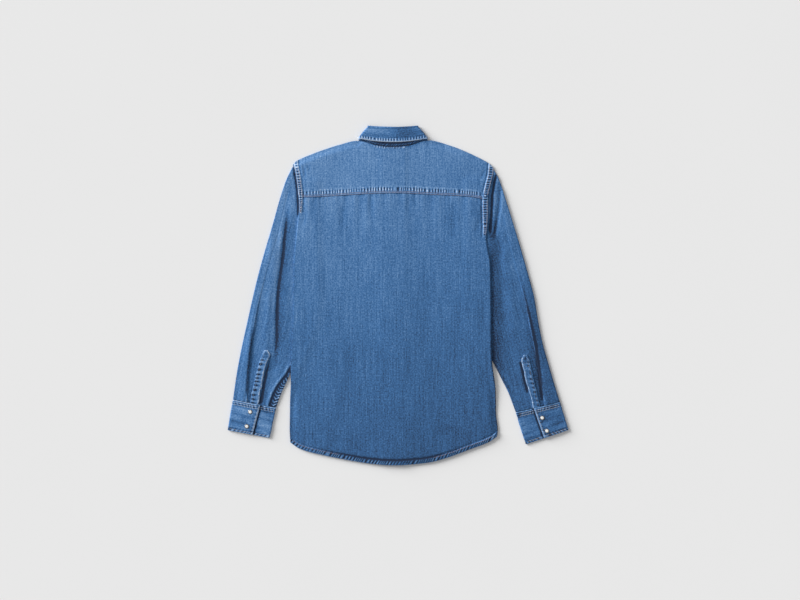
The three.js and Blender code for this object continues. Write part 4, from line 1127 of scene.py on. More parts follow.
def placket_piece(name, rows, cuff_rows, side):
    """The tower placket: its pointed top, and its lower end at the cuff's upper edge"""
    left = curve(rows["y"], rows["left"])
    right = curve(rows["y"], rows["right"])
    top = rows["y"][-1]

    def end(x):
        share = (x - cuff_rows["out_x"][0]) / (cuff_rows["in_x"][0] - cuff_rows["out_x"][0])
        return mix(cuff_rows["out_y"][0], cuff_rows["in_y"][0], share) + 1.5 * SEAM

    i, j = np.mgrid[0:125, 0:29]
    down, across = i / 124, j / 28
    from_outer = across if side < 0 else 1 - across
    x = mix(rows["left"][0], rows["right"][0], across)
    for _ in range(4):
        y = mix(end(x), top, down)
        wavy = mix(0.5 * wander(y, 9, 101 + side), 1.4 * wander(y, 8.5, 104 + side), from_outer)
        x = mix(left(y), right(y), across) + wavy * rise((top - 15 - y) / 20)
    base = sleeve_level(x, y) + CLOTH / 2 + SEAM + RESTING + 0.1
    d = np.minimum(across, 1 - across) * np.maximum(right(y) - left(y), 1)
    from_top = top - y
    body = rise((from_top - 16) / 6)
    ridges = puckers(y + 0.15 * x, PUCKER["placket"], 103 + side, 0.6)
    puckered = bell((from_outer - 0.3) / (0.4 - 0.06 * side)) * rise(d / 3) * body
    raised, worn = ridge_and_wear(ridges, puckered, 0.45, 0.3, 0.2 - 0.1 * side)
    reach = 0.17 - 0.05 * side + 0.06 * wander(y, 11, 105 + side)
    dimples = 1.7 * np.maximum(-np.tanh(2 * ridges), 0) * bell((from_outer - 0.27) / reach) * body
    worn = worn - dimples + 0.35 * wander(y, 5, 107 + side) * bell((d - 2) / 2)
    worn = worn - 0.7 * bell((from_top - 9) / 4) * bell((across - 0.5) / 0.22)
    inner_edge = bell((1 - from_outer) * 6.5) * (1 + 0.4 * wander(y, 6, 109 + side))
    edge = 0.5 * bell(d / 1.5) + 1.2 * inner_edge + bell(from_top / 3) * 0.6
    edge = edge - 0.5 * bell((from_top - 17) / 2.5)
    height = PLACKET_THICK + raised + folded_edge(d, 1.6, 0.6) - 0.4 * bell((from_top - 20) / 2)
    return layer_wall(name, x, y, base + height, base, np.clip(worn + 0.6 * edge + 0.16, -1.2, 1))


# Cuffs

def cuff_section(length, lap):
    """From the lapped end over to the outer edge, underneath, and back over the inner edge"""
    low = CUFF / 2
    middle = low + CUFF + SEAM
    high = middle + CUFF + SEAM
    lap = lap * length
    outer_turn = (CUFF_EDGE_TOP - low) / 2
    inner_turn = (middle - low) / 2
    slope_start = lap - CUFF_LAP - 3
    share = np.linspace(0, 1, 26)
    parts = [(lap - share * (CUFF_LAP + 3), high + 0 * share)]
    share = np.linspace(0, 1, 27)[1:]
    parts.append((mix(slope_start, outer_turn, share), mix(high, CUFF_EDGE_TOP, rise(share))))
    parts.append(turn_points(outer_turn, CUFF_EDGE_TOP, low, -1, 9))
    share = np.linspace(0, 1, 30)
    parts.append((mix(outer_turn, length - inner_turn, share), low + 0 * share))
    parts.append(turn_points(length - inner_turn, low, middle, 1, 8))
    share = np.linspace(0, 1, 44)
    parts.append((mix(length - inner_turn, lap - CUFF_LAP, share), middle + 0 * share))
    return np.concatenate([np.stack(part, -1) for part in parts])


CUFF_ROWS = np.concatenate([
    np.linspace(0, 14, 19), np.linspace(14, 65, 36)[1:], np.linspace(65, CUFF_DEPTH, 10)[1:],
])
# The rows along a cuff's upper edge: place, half width and wear
CUFF_LINES = [
    (0.8, 1.3, 0.8), (3.0, 1.0, -0.65), (5.2, 1.1, 0.6),
    (7.7, 1.1, -0.7), (10.1, 1.2, 0.5), (12.6, 1.5, -0.35),
]


def cuff_piece(name, rows, side):
    """A cuff as sections from its upper to its lower edge; side is -1 on the left and 1 on the right"""
    read = {key: curve([0, 1], values) for key, values in rows.items()}
    outer, inner, uv, wear = [], [], [], []
    for down in CUFF_ROWS:
        share = down / CUFF_DEPTH
        row = {key: float(value(share)) for key, value in read.items()}
        length = math.hypot(row["in_x"] - row["out_x"], row["in_y"] - row["out_y"])
        path = cuff_section(length, row["lap"])
        lap_at = row["lap"] * length
        out = sideways(path, False)
        around = along_path(path)
        up = CUFF_DEPTH - down
        from_lap = lap_at - path[:, 0]
        strong = 0.5 + 0.7 * bell((from_lap - 12) / 18) + 0.5 * (from_lap < 0)
        bars = puckers(around + 0.5 * down, PUCKER["cuff"], 111 + side, 0.9)
        top_rows, worn = ridge_and_wear(bars, strong * bell((down - 7) / 4.6), 0.4, 0.35, 0.6)
        roping = puckers(around + 0.6 * up, 1.3 * PUCKER["cuff"], 113 + side, 0.9)
        edge_rows, frayed = ridge_and_wear(roping, bell((up - 3) / 3), 0.35, 0.5, 0.6)
        end = np.minimum(around, around[-1] - around)
        steps = puckers(down + 0 * around, 9, 115 + side)
        lap_rows, lapped = ridge_and_wear(steps, bell((end - 4) / 3), 0.22, 0.2, 0.3)
        waves = 0.25 * wander(around + down, 18, 117 + side)
        waves = waves + 0.2 * wander(down - 0.5 * around, 13, 119 + side)
        streaks = wander(down + 0.12 * around, 6, 131 + side) * (0.6 + 0.5 * wander(around, 24, 133 + side))
        inside = rise(down / 8) * rise(up / 8)
        rows_cut = 0.45 * (bell((down - 11.5) / 1.6) + bell((up - 8) / 1.6))
        detail = top_rows + edge_rows + lap_rows + (1.4 * waves + 0.22 * streaks) * inside - rows_cut
        detail = detail + folded_edge(down, 2, 0.5) + folded_edge(up, 2, 0.5) + folded_edge(end, 1.6, 0.5)
        half = CUFF / 2
        for grid, section in ((outer, path + out * (half + detail)[:, None]), (inner, path - out * half)):
            a = section[:, 0] / length
            x, y = mix(row["out_x"], row["in_x"], a), mix(row["out_y"], row["in_y"], a)
            grid.append(np.stack([x, y, np.maximum(section[:, 1], 0)], -1))
        uv.append(np.stack([0 * around + down, around], -1))
        pale = 1.1 * bell((end - 0.8) / 2) + 0.6 * bell(up / 1.6) + 0.2 - 0.35 * bell((up - 7) / 1.6)
        slip = 0.9 * wander(around, 15, 121 + side)
        for at, half_width, amount in CUFF_LINES:
            pale = pale + amount * bell((down + slip - at) / half_width)
        # Painted shadow that the lapped end casts on the layer beneath it, and a faint dark band 6 mm in from
        # the lapped edge
        under = around > around[-1] - UNDER_LAP - CUFF_LAP
        in_shade = 1.5 * bell((path[:, 0] - lap_at - 1.5) / 2.6)
        painted_lap_shadow = np.where(under, in_shade, 0.25 * bell((from_lap - 6) / 3))
        level = worn + frayed + lapped + pale + 0.6 * waves + 0.28 * streaks * inside - painted_lap_shadow
        wear.append(np.clip(level, -1.3, 1))
    return wall(name, *(np.array(grid) for grid in (outer, inner, uv, wear)))


# The collar goes round the neck as a flattened ring: along the back, round each side, along the front.
# around runs from -1, one end at the front, over 0, the centre back, to 1, the other end.

def around_values(back, turn, front):
    half = np.concatenate([
        np.linspace(0, BACK_SHARE, back + 1),
        np.linspace(BACK_SHARE, BACK_SHARE + TURN_SHARE, turn + 1)[1:],
        np.linspace(BACK_SHARE + TURN_SHARE, 1, front + 1)[1:],
    ])
    return np.concatenate([-half[:0:-1], half])


def collar_row(around, back_edge, front_edge, level_back, level_front):
    """A row of the collar: its edge curves give the place across, its levels the flattened ring"""
    a = np.abs(around)
    back = np.clip(a / BACK_SHARE, 0, 1)
    turn = np.clip((a - BACK_SHARE) / TURN_SHARE, 0, 1)
    front = np.clip((a - BACK_SHARE - TURN_SHARE) / (1 - BACK_SHARE - TURN_SHARE), 0, 1)
    radius = (level_back - level_front) / 2
    z = (level_back + level_front) / 2 + radius * np.cos(np.pi * turn)
    on_front = front > 0
    x_back, y_back = back_edge(back)
    x_front, y_front = front_edge(front)
    x = np.where(on_front, x_front, x_back) + radius * np.sin(np.pi * turn)
    return np.stack([np.sign(around) * x, np.where(on_front, y_front, y_back), z], -1)


ROLL_TURN = (FALL_LEVEL["back"] - STAND_LEVEL["back"]) / 2
RING_HALF = (FALL_LEVEL["back"] - FALL_LEVEL["front"]) / 2
ROLL_END = ROLL_HALF - RING_HALF
FALL_END = FALL_HALF - RING_HALF
SEWN_ON = ROLL_TURN + ROLL_OVER


def roll_back(s):
    return ROLL_END * s, ROLL_TOP - 1.5 - 2.6 * (1 - s * s)


def roll_front_y(x):
    return mix(ROLL_FRONT, ROLL_TOP - 1.5, (np.abs(x) / ROLL_END) ** 2.2)


def roll_front(s):
    x = mix(ROLL_END, LEAF_END, s)
    return x, roll_front_y(x)


def collar_grid(around):
    """The fall's middle surface: sewn edge, roll, and face down to the lower edge"""
    up = curve(np.arange(6), [-ROLL_OVER, -2, 0, ROLL_TURN, 0, -2.5])
    out = curve(np.arange(6), [0, 0, 0.15, 0.5, 0.85, 1])

    def lifted(point, rise_by):
        return point[0], point[1] + rise_by - ROLL_TURN

    def level(key, share):
        return mix(STAND_LEVEL[key], FALL_LEVEL[key], share)

    rows = []
    for at in np.linspace(0, 5, 21):
        lift, share = float(up(at)), float(out(at))
        edges = (lambda s: lifted(roll_back(s), lift)), (lambda s: lifted(roll_front(s), lift))
        rows.append(collar_row(around, *edges, level("back", share), level("front", share)))
    for t in np.linspace(0, 1, 41)[1:]:
        def back_edge(s):
            start = lifted(roll_back(s), -2.5)
            edge = mix(FALL_EDGE, FALL_EDGE_SIDE, s * s)
            return mix(start[0], FALL_END * s, t ** SPREAD), mix(start[1], edge, t)

        def front_edge(s):
            start = lifted(roll_front(s), -2.5)
            return (mix(start[0], mix(FALL_END, LEAF_POINT[0], s * s), t ** SPREAD),
                    mix(start[1], mix(FALL_EDGE_SIDE, LEAF_POINT[1], s), t))

        rows.append(collar_row(around, back_edge, front_edge, FALL_LEVEL["back"], FALL_LEVEL["front"]))
    return np.array(rows)


def thickened(grid, half, detail, way):
    """The two sides of a wall round its middle surface, with the detail on its outer side"""
    out = way * normals_of(grid)
    outer = grid + out * (half + detail)[..., None]
    inner = grid - out * half
    outer[..., 2] = np.maximum(outer[..., 2], 0)
    inner[..., 2] = np.maximum(inner[..., 2], 0)
    return outer, inner


def fall_piece():
    """The collar's fall: down the back, round both sides, and its leaves under the fronts"""
    around = around_values(64, 10, 60)
    grid = collar_grid(around)
    run = arc(grid, 1)
    down = arc(grid, 0)
    d = down[-1:] - down
    end = np.minimum(run, run[:, -1:] - run)
    run = run - run[:, len(around) // 2][:, None]
    ridges = puckers(run, PUCKER["collar"], 121, 0.35)
    raised, worn = ridge_and_wear(ridges, bell((d - 5.6) / 3.2), 0.4, 0.66, 0.8)
    waves = 0.3 * wander(run * 0.5 + down, 17, 123) * rise(d / 12)
    row_cut = 0.4 * bell((d - 10.5) / 1.6)
    facing = rise((grid[..., 2] - 4) / 2)
    detail = (raised + waves - row_cut) * mix(0.3, 1, facing) + folded_edge(d, 1.6, 0.5)
    outer, inner = thickened(grid, CLOTH / 2, detail, -1)
    pale = 1.2 * bell((d - 0.9) / 1.7) + 0.35 * bell(end / 2) - 0.3 * bell((d - 10.8) / 2)
    shade = 0.5 * bell((run - 25) / 26) * bell((d - 26) / 16) + 0.16 * rise((run - 5) / 50)
    streaks = 0.2 * wander(down + 0.03 * run, 3.4, 125) * rise(d / 14)
    wear = np.clip(worn + pale + 0.3 * waves - shade + streaks - 0.14, -1, 1)
    return wall("collar_leaf", outer, inner, np.stack([down, run], -1), wear)


def stand_piece():
    """The collar's stand, from the neck seam up to where the fall is sewn on"""
    around = around_values(48, 8, 50)
    end = 3 - FRONT_BAND_HALF
    sewn = 0.9
    rows = []
    for t in np.linspace(0, 1, 25):
        half = mix(NECK_HALF - 4.5, ROLL_END, t)

        def back_edge(s):
            return half * s, mix(shoulder(NECK_HALF * s) + sewn, roll_back(s)[1] - SEWN_ON - 2 * SEAM, t)

        def front_edge(s):
            top = roll_front_y(mix(ROLL_END, end, s)) - SEWN_ON - 6 * SEAM
            return mix(half, end, s), mix(front_neck(mix(NECK_HALF, end, s)) + sewn, top, t)

        lap = np.where(around > 0, (STAND + SEAM) * rise((around - 0.7) / 0.16), 0)
        front_level = STAND_LEVEL["front"] + lap
        rows.append(collar_row(around, back_edge, front_edge, STAND_LEVEL["back"], front_level))
    grid = np.array(rows)
    run = arc(grid, 1)
    down = arc(grid, 0)
    raised, worn = ridge_and_wear(puckers(run, PUCKER["neck"], 131), bell((down - 3) / 2.5), 0.2)
    outer, inner = thickened(grid, STAND / 2, raised, 1)
    # Painted shadow: the stand is darkened where the fall hangs over it at the back
    painted_fall_shadow = 1.4 * (1 - rise((np.abs(around) - 0.3) / 0.2))
    return wall("collar_band", outer, inner, np.stack([down, run], -1), np.clip(worn - painted_fall_shadow, -1.4, 1))


# Stitching: each stitch is a short closed spindle of thread, laid on the cloth

STITCH_SIDES = 5
STITCH_SPOTS = (0.08, 0.46, 0.84)  # a stitch's start, middle and end, as shares of the pitch
STEEPEST = 1.2  # no stitch is laid where the cloth rises more than this under it


class Sewing:
    """Lays rows of stitches on the pieces, and joins them into one mesh"""

    def __init__(self, sizes):
        self.pitch = sizes.stitch_pitch / MM
        self.radius = sizes.thread / 2 / MM
        self.trees = {}
        self.stitches = []

    def tree(self, piece):
        if piece not in self.trees:
            bpy.context.view_layer.update()
            graph = bpy.context.evaluated_depsgraph_get()
            self.trees[piece] = BVHTree.FromObject(bpy.data.objects[piece], graph)
        return self.trees[piece]

    def row(self, piece, x, y, below=False):
        """Stitches along a path on a piece's upper side, or on its underside"""
        path = np.stack([x, y], -1)
        run = along_path(path)
        count = int(run[-1] / self.pitch)
        at = (np.arange(count)[:, None] + STITCH_SPOTS) * self.pitch
        spots = np.stack([np.interp(at, run, x), np.interp(at, run, y)], -1)
        start, way = (-0.02, 1) if below else (0.05, -1)
        for stitch in spots:
            found = []
            for spot in to_frame(np.column_stack([stitch, np.zeros(3)])):
                hit = self.tree(piece).ray_cast(Vector((spot[0], spot[1], start)), Vector((0, 0, way)))
                if hit[0] is None:
                    break
                found.append(hit[0][2] / MM)
            if len(found) == len(STITCH_SPOTS) and max(found) - min(found) < STEEPEST:
                level = np.array(found) + way * self.radius * np.array((0.5, -0.5, 0.5))
                self.stitches.append(np.column_stack([stitch, level]))

    def finish(self, name, look):
        """The stitches as one piece"""
        ends = np.array(self.stitches)
        start, middle, end = ends[:, 0], ends[:, 1], ends[:, 2]
        along = unit(end - start)
        side = unit(np.cross(along, (0, 0, 1.0)))
        up = np.cross(side, along)
        points = [start]
        for share in (-0.55, 0.55):
            centre = middle + along * share * self.pitch * 0.42
            for k in range(STITCH_SIDES):
                angle = 2 * math.pi * k / STITCH_SIDES
                points.append(centre + self.radius * (math.cos(angle) * side + math.sin(angle) * up))
        points.append(end)
        points = np.stack(points, 1)
        each = points.shape[1]
        faces = []
        for k in range(STITCH_SIDES):
            a, b = 1 + k, 1 + (k + 1) % STITCH_SIDES
            faces += [(0, b, a), (a, b, b + STITCH_SIDES, a + STITCH_SIDES)]
            faces.append((a + STITCH_SIDES, b + STITCH_SIDES, each - 1))
        joined = [[n * each + corner for corner in face] for n in range(len(ends)) for face in faces]
        piece = make_mesh(name, points.reshape(-1, 3), joined)
        self.stitches = []
        return dress(piece, look, "denim_worn")


def straight(start, end):
    share = np.linspace(0, 1, 30)
    return mix(start[0], end[0], share), mix(start[1], end[1], share)


def sew_body(sewing):
    x = np.linspace(-214, 211, 400)
    for d in (1.9, 5.2):
        sewing.row("yoke", x, yoke_seam(x) + d)
    armholes = ((side_left, 1, ARMHOLE_END["left"], 4.0), (side_right, -1, ARMHOLE_END["right"], 1.9))
    for side_x, way, end, first in armholes:
        for piece, low, high in (("back", end + 6, 627), ("yoke", 636, 703)):
            y = np.linspace(low, high, 90)
            sewing.row(piece, side_x(y) + way * first, y)
            sewing.row(piece, side_x(y) + way * (fell_width(y, end) - 1.5), y)


def sew_hem(sewing):
    for start, end in ((-236, -125), (95, 238)):
        x = np.linspace(start, end, 130)
        sewing.row("back", x, hem(x) + 9.2)


def sew_plackets(sewing):
    for name, rows, bar in (("left_placket", LEFT_PLACKET, 250), ("right_placket", RIGHT_PLACKET, 243)):
        left = curve(rows["y"], rows["left"])
        right = curve(rows["y"], rows["right"])
        y = np.linspace(rows["y"][0] + 8, rows["y"][-2] + 3, 60)
        inner, outer = (right, left) if name == "left_placket" else (left, right)
        way = np.sign(outer(200) - inner(200))
        sewing.row(name, inner(y) + way * 2.4, y)
        sewing.row(name, outer(y) - way * 4.6, y)
        for level in (bar, bar - 7):
            sewing.row(name, *straight((left(level) + 3, level), (right(level) - 3, level - 2)))
        tip = ((rows["left"][-1] + rows["right"][-1]) / 2, rows["y"][-1] - 3)
        for edge in (left(rows["y"][-2] + 2) + 2.2, right(rows["y"][-2] + 2) - 2.2):
            sewing.row(name, *straight((edge, rows["y"][-2] + 2), tip))


def sew_cuffs(sewing):
    for name, rows in (("left_cuff", LEFT_CUFF), ("right_cuff", RIGHT_CUFF)):
        def at(key, share):
            return mix(*rows[key], share)

        def spot(a, share):
            x = mix(at("out_x", share), at("in_x", share), a)
            return x, mix(at("out_y", share), at("in_y", share), a)

        lap = at("lap", 0.5)
        for share in (0.071, 0.138, 0.94):
            for first, last in ((0.03, lap - 0.03), (lap + 0.03, 0.97)):
                sewing.row(name, *straight(spot(first, share), spot(last, share)))
        sewing.row(name, *straight(spot(rows["lap"][0] - 0.03, 0.06), spot(rows["lap"][1] - 0.03, 0.94)))


def sew_collar(sewing):
    x = np.linspace(-74, 74, 120)
    edge = mix(FALL_EDGE, FALL_EDGE_SIDE, (x / FALL_END) ** 2)
    sewing.row("collar_leaf", x, edge + 1.8)
    x = np.linspace(-42, 28, 70)
    sewing.row("yoke", x, shoulder(x) - 2.6)


def sew_bands(sewing):
    for x in (-13, 13):
        sewing.row("left_band", *straight((x, 16), (x, 672)), below=True)


# Snap caps are modelled as by hand, once, and then copied

def alone():
    bpy.ops.object.select_all(action="DESELECT")


def pick(piece, test):
    """In edit mode: selects only the faces that the test names"""
    mesh = bmesh.from_edit_mesh(piece.data)
    for face in mesh.faces:
        face.select_set(False)
    for face in mesh.faces:
        if test(face):
            face.select_set(True)
    bmesh.update_edit_mesh(piece.data)


def disc(vertices, radius, height):
    """A disc on the surface, open for modelling in edit mode with its top picked"""
    alone()
    bpy.ops.mesh.primitive_cylinder_add(vertices=vertices, radius=radius, depth=height,
                                        location=(0, 0, height / 2))
    bpy.ops.object.mode_set(mode="EDIT")
    pick(bpy.context.object, top_face)
    return bpy.context.object


def top_face(face):
    return face.normal.z > 0.99 and len(face.verts) > 4


def bevelled(piece, width):
    """Ends the modelling: the piece with its place applied and its edges rounded"""
    bpy.ops.object.mode_set(mode="OBJECT")
    bpy.ops.object.transform_apply(location=True, rotation=True, scale=True)
    bevel = piece.modifiers.new("edge", "BEVEL")
    bevel.width = width
    bevel.segments = 2
    bevel.limit_method = "ANGLE"
    bevel.angle_limit = math.radians(35)
    bpy.ops.object.modifier_apply(modifier=bevel.name)
    bpy.ops.object.shade_smooth_by_angle(angle=math.radians(40))
    return piece


def model_rim(radius, height):
    """A plated ring: a disc whose top is let in, so that the cap sits in it"""
    ring = disc(40, radius, height * 0.62)
    bpy.ops.mesh.inset(thickness=radius * 0.1)
    bpy.ops.transform.translate(value=(0, 0, height * 0.13))
    bpy.ops.mesh.inset(thickness=radius * 0.12)
    bpy.ops.mesh.extrude_region_move(TRANSFORM_OT_translate={"value": (0, 0, -height * 0.3)})
    return bevelled(ring, radius * 0.035)


# The cap's dome: how far each step is let in, and how much it rises, as shares of radius and height
DOME = ((0.05, 0.1), (0.14, 0.05), (0.2, 0.03), (0.26, 0.02), (0.2, 0.01))


def model_cap(radius, height):
    """A pearl cap: a disc raised to a low dome, with a lip around it"""
    cap = disc(36, radius, height * 0.55)
    for share, lift in DOME:
        bpy.ops.mesh.inset(thickness=radius * share)
        bpy.ops.transform.translate(value=(0, 0, height * lift))
    return bevelled(cap, radius * 0.05)


def snap_copy(model, name, node, look, slot, turned=False, replaced=True):
    """A copy of a snap's part, with a mesh of its own, on the place of its CAD node"""
    low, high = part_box(node)
    piece = bpy.data.objects.new(name, model.data.copy())
    bpy.context.collection.objects.link(piece)
    spot = Vector(((low[0] + high[0]) / 2, (low[1] + high[1]) / 2, high[2] if turned else low[2]))
    turn = Matrix.Rotation(math.pi, 4, "X") if turned else Matrix.Identity(4)
    piece.data.transform(Matrix.Translation(spot) @ turn)
    return dress(piece, look, slot, *([node] if replaced else []))


# What a user would change

class ShirtColours(bpy.types.PropertyGroup):
    """The shirt's colours"""

    # The darkest colour is also what painted shade reaches, in grooves, gaps and beside raised edges
    darkest: bpy.props.FloatVectorProperty(
        name="Unworn denim", description="In the dips of seams and between the slubs",
        default=(0.008, 0.021, 0.056, 1), subtype="COLOR", size=4, min=0, max=1)
    cloth: bpy.props.FloatVectorProperty(
        name="Denim", description="Most of the cloth",
        default=(0.041, 0.139, 0.332, 1), subtype="COLOR", size=4, min=0, max=1)
    worn: bpy.props.FloatVectorProperty(
        name="Worn denim", description="On ridges and along the slubs",
        default=(0.15, 0.29, 0.52, 1), subtype="COLOR", size=4, min=0, max=1)
    palest: bpy.props.FloatVectorProperty(
        name="Palest denim", description="On frayed edges",
        default=(0.48, 0.6, 0.78, 1), subtype="COLOR", size=4, min=0, max=1)
    tan_thread: bpy.props.FloatVectorProperty(
        name="Tan thread", description="Topstitching on the yoke, armholes and hem",
        default=(0.42, 0.3, 0.27, 1), subtype="COLOR", size=4, min=0, max=1)
    pale_thread: bpy.props.FloatVectorProperty(
        name="Pale thread", description="Topstitching on the cuffs",
        default=(0.5, 0.48, 0.45, 1), subtype="COLOR", size=4, min=0, max=1)
    blue_thread: bpy.props.FloatVectorProperty(
        name="Blue thread", description="Topstitching on the collar, bands and plackets",
        default=(0.27, 0.36, 0.5, 1), subtype="COLOR", size=4, min=0, max=1)
    pearl: bpy.props.FloatVectorProperty(
        name="Pearl", description="The snap caps",
        default=(0.88, 0.88, 0.86, 1), subtype="COLOR", size=4, min=0, max=1)
    nickel: bpy.props.FloatVectorProperty(
        name="Nickel", description="The snaps' rims",
        default=(0.36, 0.36, 0.36, 1), subtype="COLOR", size=4, min=0, max=1)
    paper: bpy.props.FloatVectorProperty(
        name="Surface", description="What the shirt lies on",
        default=(0.8, 0.8, 0.8, 1), subtype="COLOR", size=4, min=0, max=1)


class ShirtSizes(bpy.types.PropertyGroup):
    """The shirt's small sizes"""

    stitch_pitch: bpy.props.FloatProperty(
        name="Stitch length", description="From one stitch to the next",
        default=3.2 * MM, unit="LENGTH", min=0.001, max=0.01, precision=4)
    thread: bpy.props.FloatProperty(
        name="Thread", description="The sewing thread's diameter",
        default=0.9 * MM, unit="LENGTH", min=0.0003, max=0.002, precision=4)
    snap: bpy.props.FloatProperty(
        name="Snap", description="A snap's diameter over its rim",
        default=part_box("snap_cuff_left_1_rim")[1][0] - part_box("snap_cuff_left_1_rim")[0][0],
        unit="LENGTH", min=0.006, max=0.02, precision=4)
    camera_height: bpy.props.FloatProperty(
        name="Camera height", description="Above the surface", default=5.22, unit="LENGTH", min=2, max=20)
    light_height: bpy.props.FloatProperty(
        name="Light elevation", description="How high the light stands", default=math.radians(20),
        unit="ROTATION", min=0.1, max=1.5)
    light: bpy.props.FloatProperty(
        name="Light", description="The strength of the light from the upper left",
        default=5.07, min=0, max=20)


# The stage, in metres
FLOOR_SIZE = 12
FLOOR_LEVEL = -0.0004  # just under the shirt
SKY = {"Color": (0.99, 0.99, 0.99, 1), "Strength": 0.46}
LIGHT_TURN = math.radians(30)  # the light comes from the left, turned this far towards the collar
LIGHT_SPREAD = math.radians(34)
EYE = (0.0047, -0.0106)

# One operator for each piece or pair of like pieces

class SHIRT_OT_back(bpy.types.Operator):
    """Sews the back panel and the yoke"""

    bl_idname = "shirt.back"
    bl_label = "Back and yoke"

    def execute(self, context):
        back = dress(back_piece(), "washed_denim", "denim", "back_panel")
        yoke = dress(yoke_piece(), "washed_denim", "denim", "back_yoke")
        return {"FINISHED"}


class SHIRT_OT_fronts(bpy.types.Operator):
    """Sews the two fronts and their snap bands, which lie against the surface"""

    bl_idname = "shirt.fronts"
    bl_label = "Fronts and bands"

    def execute(self, context):
        left_edge = -FRONT_BAND_HALF - SEAM
        right_edge = FRONT_BAND_HALF + SEAM
        left = front_piece("left_front", side_left, lambda y: left_edge + 0 * y, left_under)
        right = front_piece("right_front", lambda y: right_edge + 0 * y, side_right, right_under)
        for piece, node in ((left, "front_left"), (right, "front_right")):
            dress(piece, "washed_denim", "denim", node)
        bands = (("left_band", "band_left", left_under), ("right_band", "band_right", right_band_under))
        for name, node, under in bands:
            band = dress(band_piece(name, under), "washed_denim", "denim", node)
        return {"FINISHED"}


class SHIRT_OT_sleeves(bpy.types.Operator):
    """Sews the sleeves, each a flattened tube with the pleat beside its cuff"""

    bl_idname = "shirt.sleeves"
    bl_label = "Sleeves"

    def execute(self, context):
        left = sleeve_piece("left_sleeve", LEFT_SLEEVE, -1, LEFT_SLEEVE_CREASES)
        right = sleeve_piece("right_sleeve", RIGHT_SLEEVE, 1, RIGHT_SLEEVE_CREASES)
        for piece, node in ((left, "sleeve_left"), (right, "sleeve_right")):
            dress(piece, "washed_denim", "denim", node)
        return {"FINISHED"}


class SHIRT_OT_plackets(bpy.types.Operator):
    """Sews the pointed plackets of the sleeves"""

    bl_idname = "shirt.plackets"
    bl_label = "Sleeve plackets"

    def execute(self, context):
        left = placket_piece("left_placket", LEFT_PLACKET, LEFT_CUFF, -1)
        right = placket_piece("right_placket", RIGHT_PLACKET, RIGHT_CUFF, 1)
        pair = ((left, "sleeve_placket_left", "left_sleeve"), (right, "sleeve_placket_right", "right_sleeve"))
        for piece, node, sleeve in pair:
            dress(piece, "washed_denim", "denim_worn", node)
        return {"FINISHED"}


class SHIRT_OT_cuffs(bpy.types.Operator):
    """Sews the cuffs, each with one end lapped over the other"""

    bl_idname = "shirt.cuffs"
    bl_label = "Cuffs"

    def execute(self, context):
        left = cuff_piece("left_cuff", LEFT_CUFF, -1)
        right = cuff_piece("right_cuff", RIGHT_CUFF, 1)
        for piece, node in ((left, "cuff_left"), (right, "cuff_right")):
            dress(piece, "washed_denim", "denim", node)
        return {"FINISHED"}


class SHIRT_OT_collar(bpy.types.Operator):
    """Sews the collar: its stand round the neck, and the fall turned down over it"""

    bl_idname = "shirt.collar"
    bl_label = "Collar"

    def execute(self, context):
        fall = dress(fall_piece(), "washed_denim", "denim", "collar_fall")
        stand = dress(stand_piece(), "washed_denim", "denim", "collar_stand")
        return {"FINISHED"}


class SHIRT_OT_stitching(bpy.types.Operator):
    """Sews the rows of stitches on the finished pieces"""

    bl_idname = "shirt.stitching"
    bl_label = "Stitching"

    def execute(self, context):
        sewing = Sewing(context.scene.shirt_sizes)
        sew_body(sewing)
        sew_hem(sewing)
        sewing.finish("stitches_tan", "tan_thread")
        sew_cuffs(sewing)
        sewing.finish("stitches_pale", "pale_thread")
        sew_plackets(sewing)
        sew_collar(sewing)
        sew_bands(sewing)
        sewing.finish("stitches_blue", "blue_thread")
        return {"FINISHED"}


class SHIRT_OT_snaps(bpy.types.Operator):
    """Sets the snap caps on the cuffs and on the front"""

    bl_idname = "shirt.snaps"
    bl_label = "Snaps"

    def execute(self, context):
        radius = context.scene.shirt_sizes.snap / 2
        cuff_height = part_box("snap_cuff_left_1")[1][2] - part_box("snap_cuff_left_1_rim")[0][2]
        front_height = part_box("snap_front_1")[1][2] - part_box("snap_front_1")[0][2]
        rim = model_rim(radius * 0.93, cuff_height * 0.7)
        cap = model_cap(radius * 0.64, cuff_height * 0.85)
        flat_rim = model_rim(radius, front_height)
        flat_cap = model_cap(radius * 0.76, front_height)
        for node in ("snap_cuff_left_1", "snap_cuff_left_2", "snap_cuff_right_1", "snap_cuff_right_2"):
            snap_copy(rim, node.replace("snap", "ring"), node + "_rim", "nickel", "snap_metal")
            snap_copy(cap, node.replace("snap", "cap"), node, "pearl", "snap_pearl")
        for node in [f"snap_front_{k}" for k in range(1, 7)] + ["snap_neck"]:
            snap_copy(flat_rim, node.replace("snap", "ring"), node, "nickel", "snap_metal", True, False)
            snap_copy(flat_cap, node.replace("snap", "cap"), node, "pearl", "snap_pearl", True)
        for model in (rim, cap, flat_rim, flat_cap):
            bpy.data.objects.remove(model)
        return {"FINISHED"}


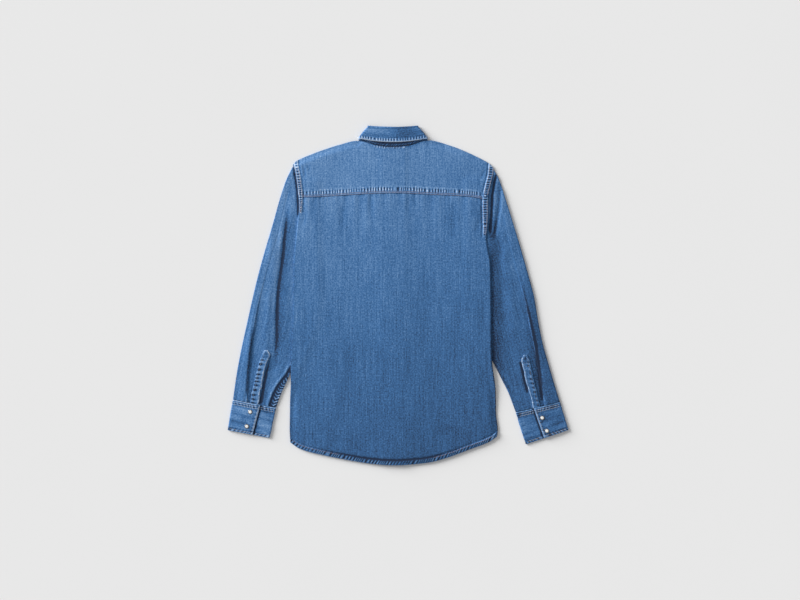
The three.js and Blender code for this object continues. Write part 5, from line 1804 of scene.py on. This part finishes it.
class SHIRT_OT_stage(bpy.types.Operator):
    """Sets up the surface, the lights and the camera"""

    bl_idname = "shirt.stage"
    bl_label = "Surface, light and camera"

    def execute(self, context):
        sizes = context.scene.shirt_sizes
        alone()
        bpy.ops.mesh.primitive_plane_add(size=FLOOR_SIZE, location=(0, 0, FLOOR_LEVEL))
        floor = context.object
        floor.name = "surface"
        floor.data.materials.append(material("paper"))
        world = bpy.data.worlds.new("studio")
        world.use_nodes = True
        for key, value in SKY.items():
            world.node_tree.nodes["Background"].inputs[key].default_value = value
        context.scene.world = world
        sun = bpy.data.lights.new("key", "SUN")
        sun.energy = sizes.light
        sun.angle = LIGHT_SPREAD
        key = bpy.data.objects.new("key", sun)
        towards = Vector((-math.cos(LIGHT_TURN), math.sin(LIGHT_TURN), math.tan(sizes.light_height)))
        key.rotation_euler = towards.to_track_quat("Z", "Y").to_euler()
        context.collection.objects.link(key)
        camera = bpy.data.cameras.new("camera")
        camera.lens = 100
        camera.sensor_width = 36
        eye = bpy.data.objects.new("camera", camera)
        eye.location = (*EYE, sizes.camera_height)
        context.collection.objects.link(eye)
        context.scene.camera = eye
        context.scene.view_settings.view_transform = "Standard"
        return {"FINISHED"}


STEPS = (
    SHIRT_OT_stage, SHIRT_OT_fronts, SHIRT_OT_sleeves, SHIRT_OT_plackets, SHIRT_OT_cuffs, SHIRT_OT_back,
    SHIRT_OT_collar, SHIRT_OT_stitching, SHIRT_OT_snaps,
)


class SHIRT_PT_panel(bpy.types.Panel):
    """Lists the shirt's sizes, colours and pieces in the sidebar"""

    bl_idname = "SHIRT_PT_panel"
    bl_label = "Denim shirt"
    bl_space_type = "VIEW_3D"
    bl_region_type = "UI"
    bl_category = "Shirt"

    def draw(self, context):
        for group in (context.scene.shirt_sizes, context.scene.shirt_colours):
            for name in group.bl_rna.properties.keys():
                if name not in ("rna_type", "name"):
                    self.layout.prop(group, name)
        for step in STEPS:
            self.layout.operator(step.bl_idname)


CLASSES = (ShirtColours, ShirtSizes, *STEPS, SHIRT_PT_panel)


def register():
    for kind in CLASSES:
        bpy.utils.register_class(kind)
    bpy.types.Scene.shirt_colours = bpy.props.PointerProperty(type=ShirtColours)
    bpy.types.Scene.shirt_sizes = bpy.props.PointerProperty(type=ShirtSizes)


def unregister():
    del bpy.types.Scene.shirt_colours
    del bpy.types.Scene.shirt_sizes
    for kind in reversed(CLASSES):
        bpy.utils.unregister_class(kind)


def main():
    register()
    for step in STEPS:
        group, name = step.bl_idname.split(".")
        getattr(getattr(bpy.ops, group), name)()
    bpy.context.view_layer.update()


if __name__ == "__main__":
    main()
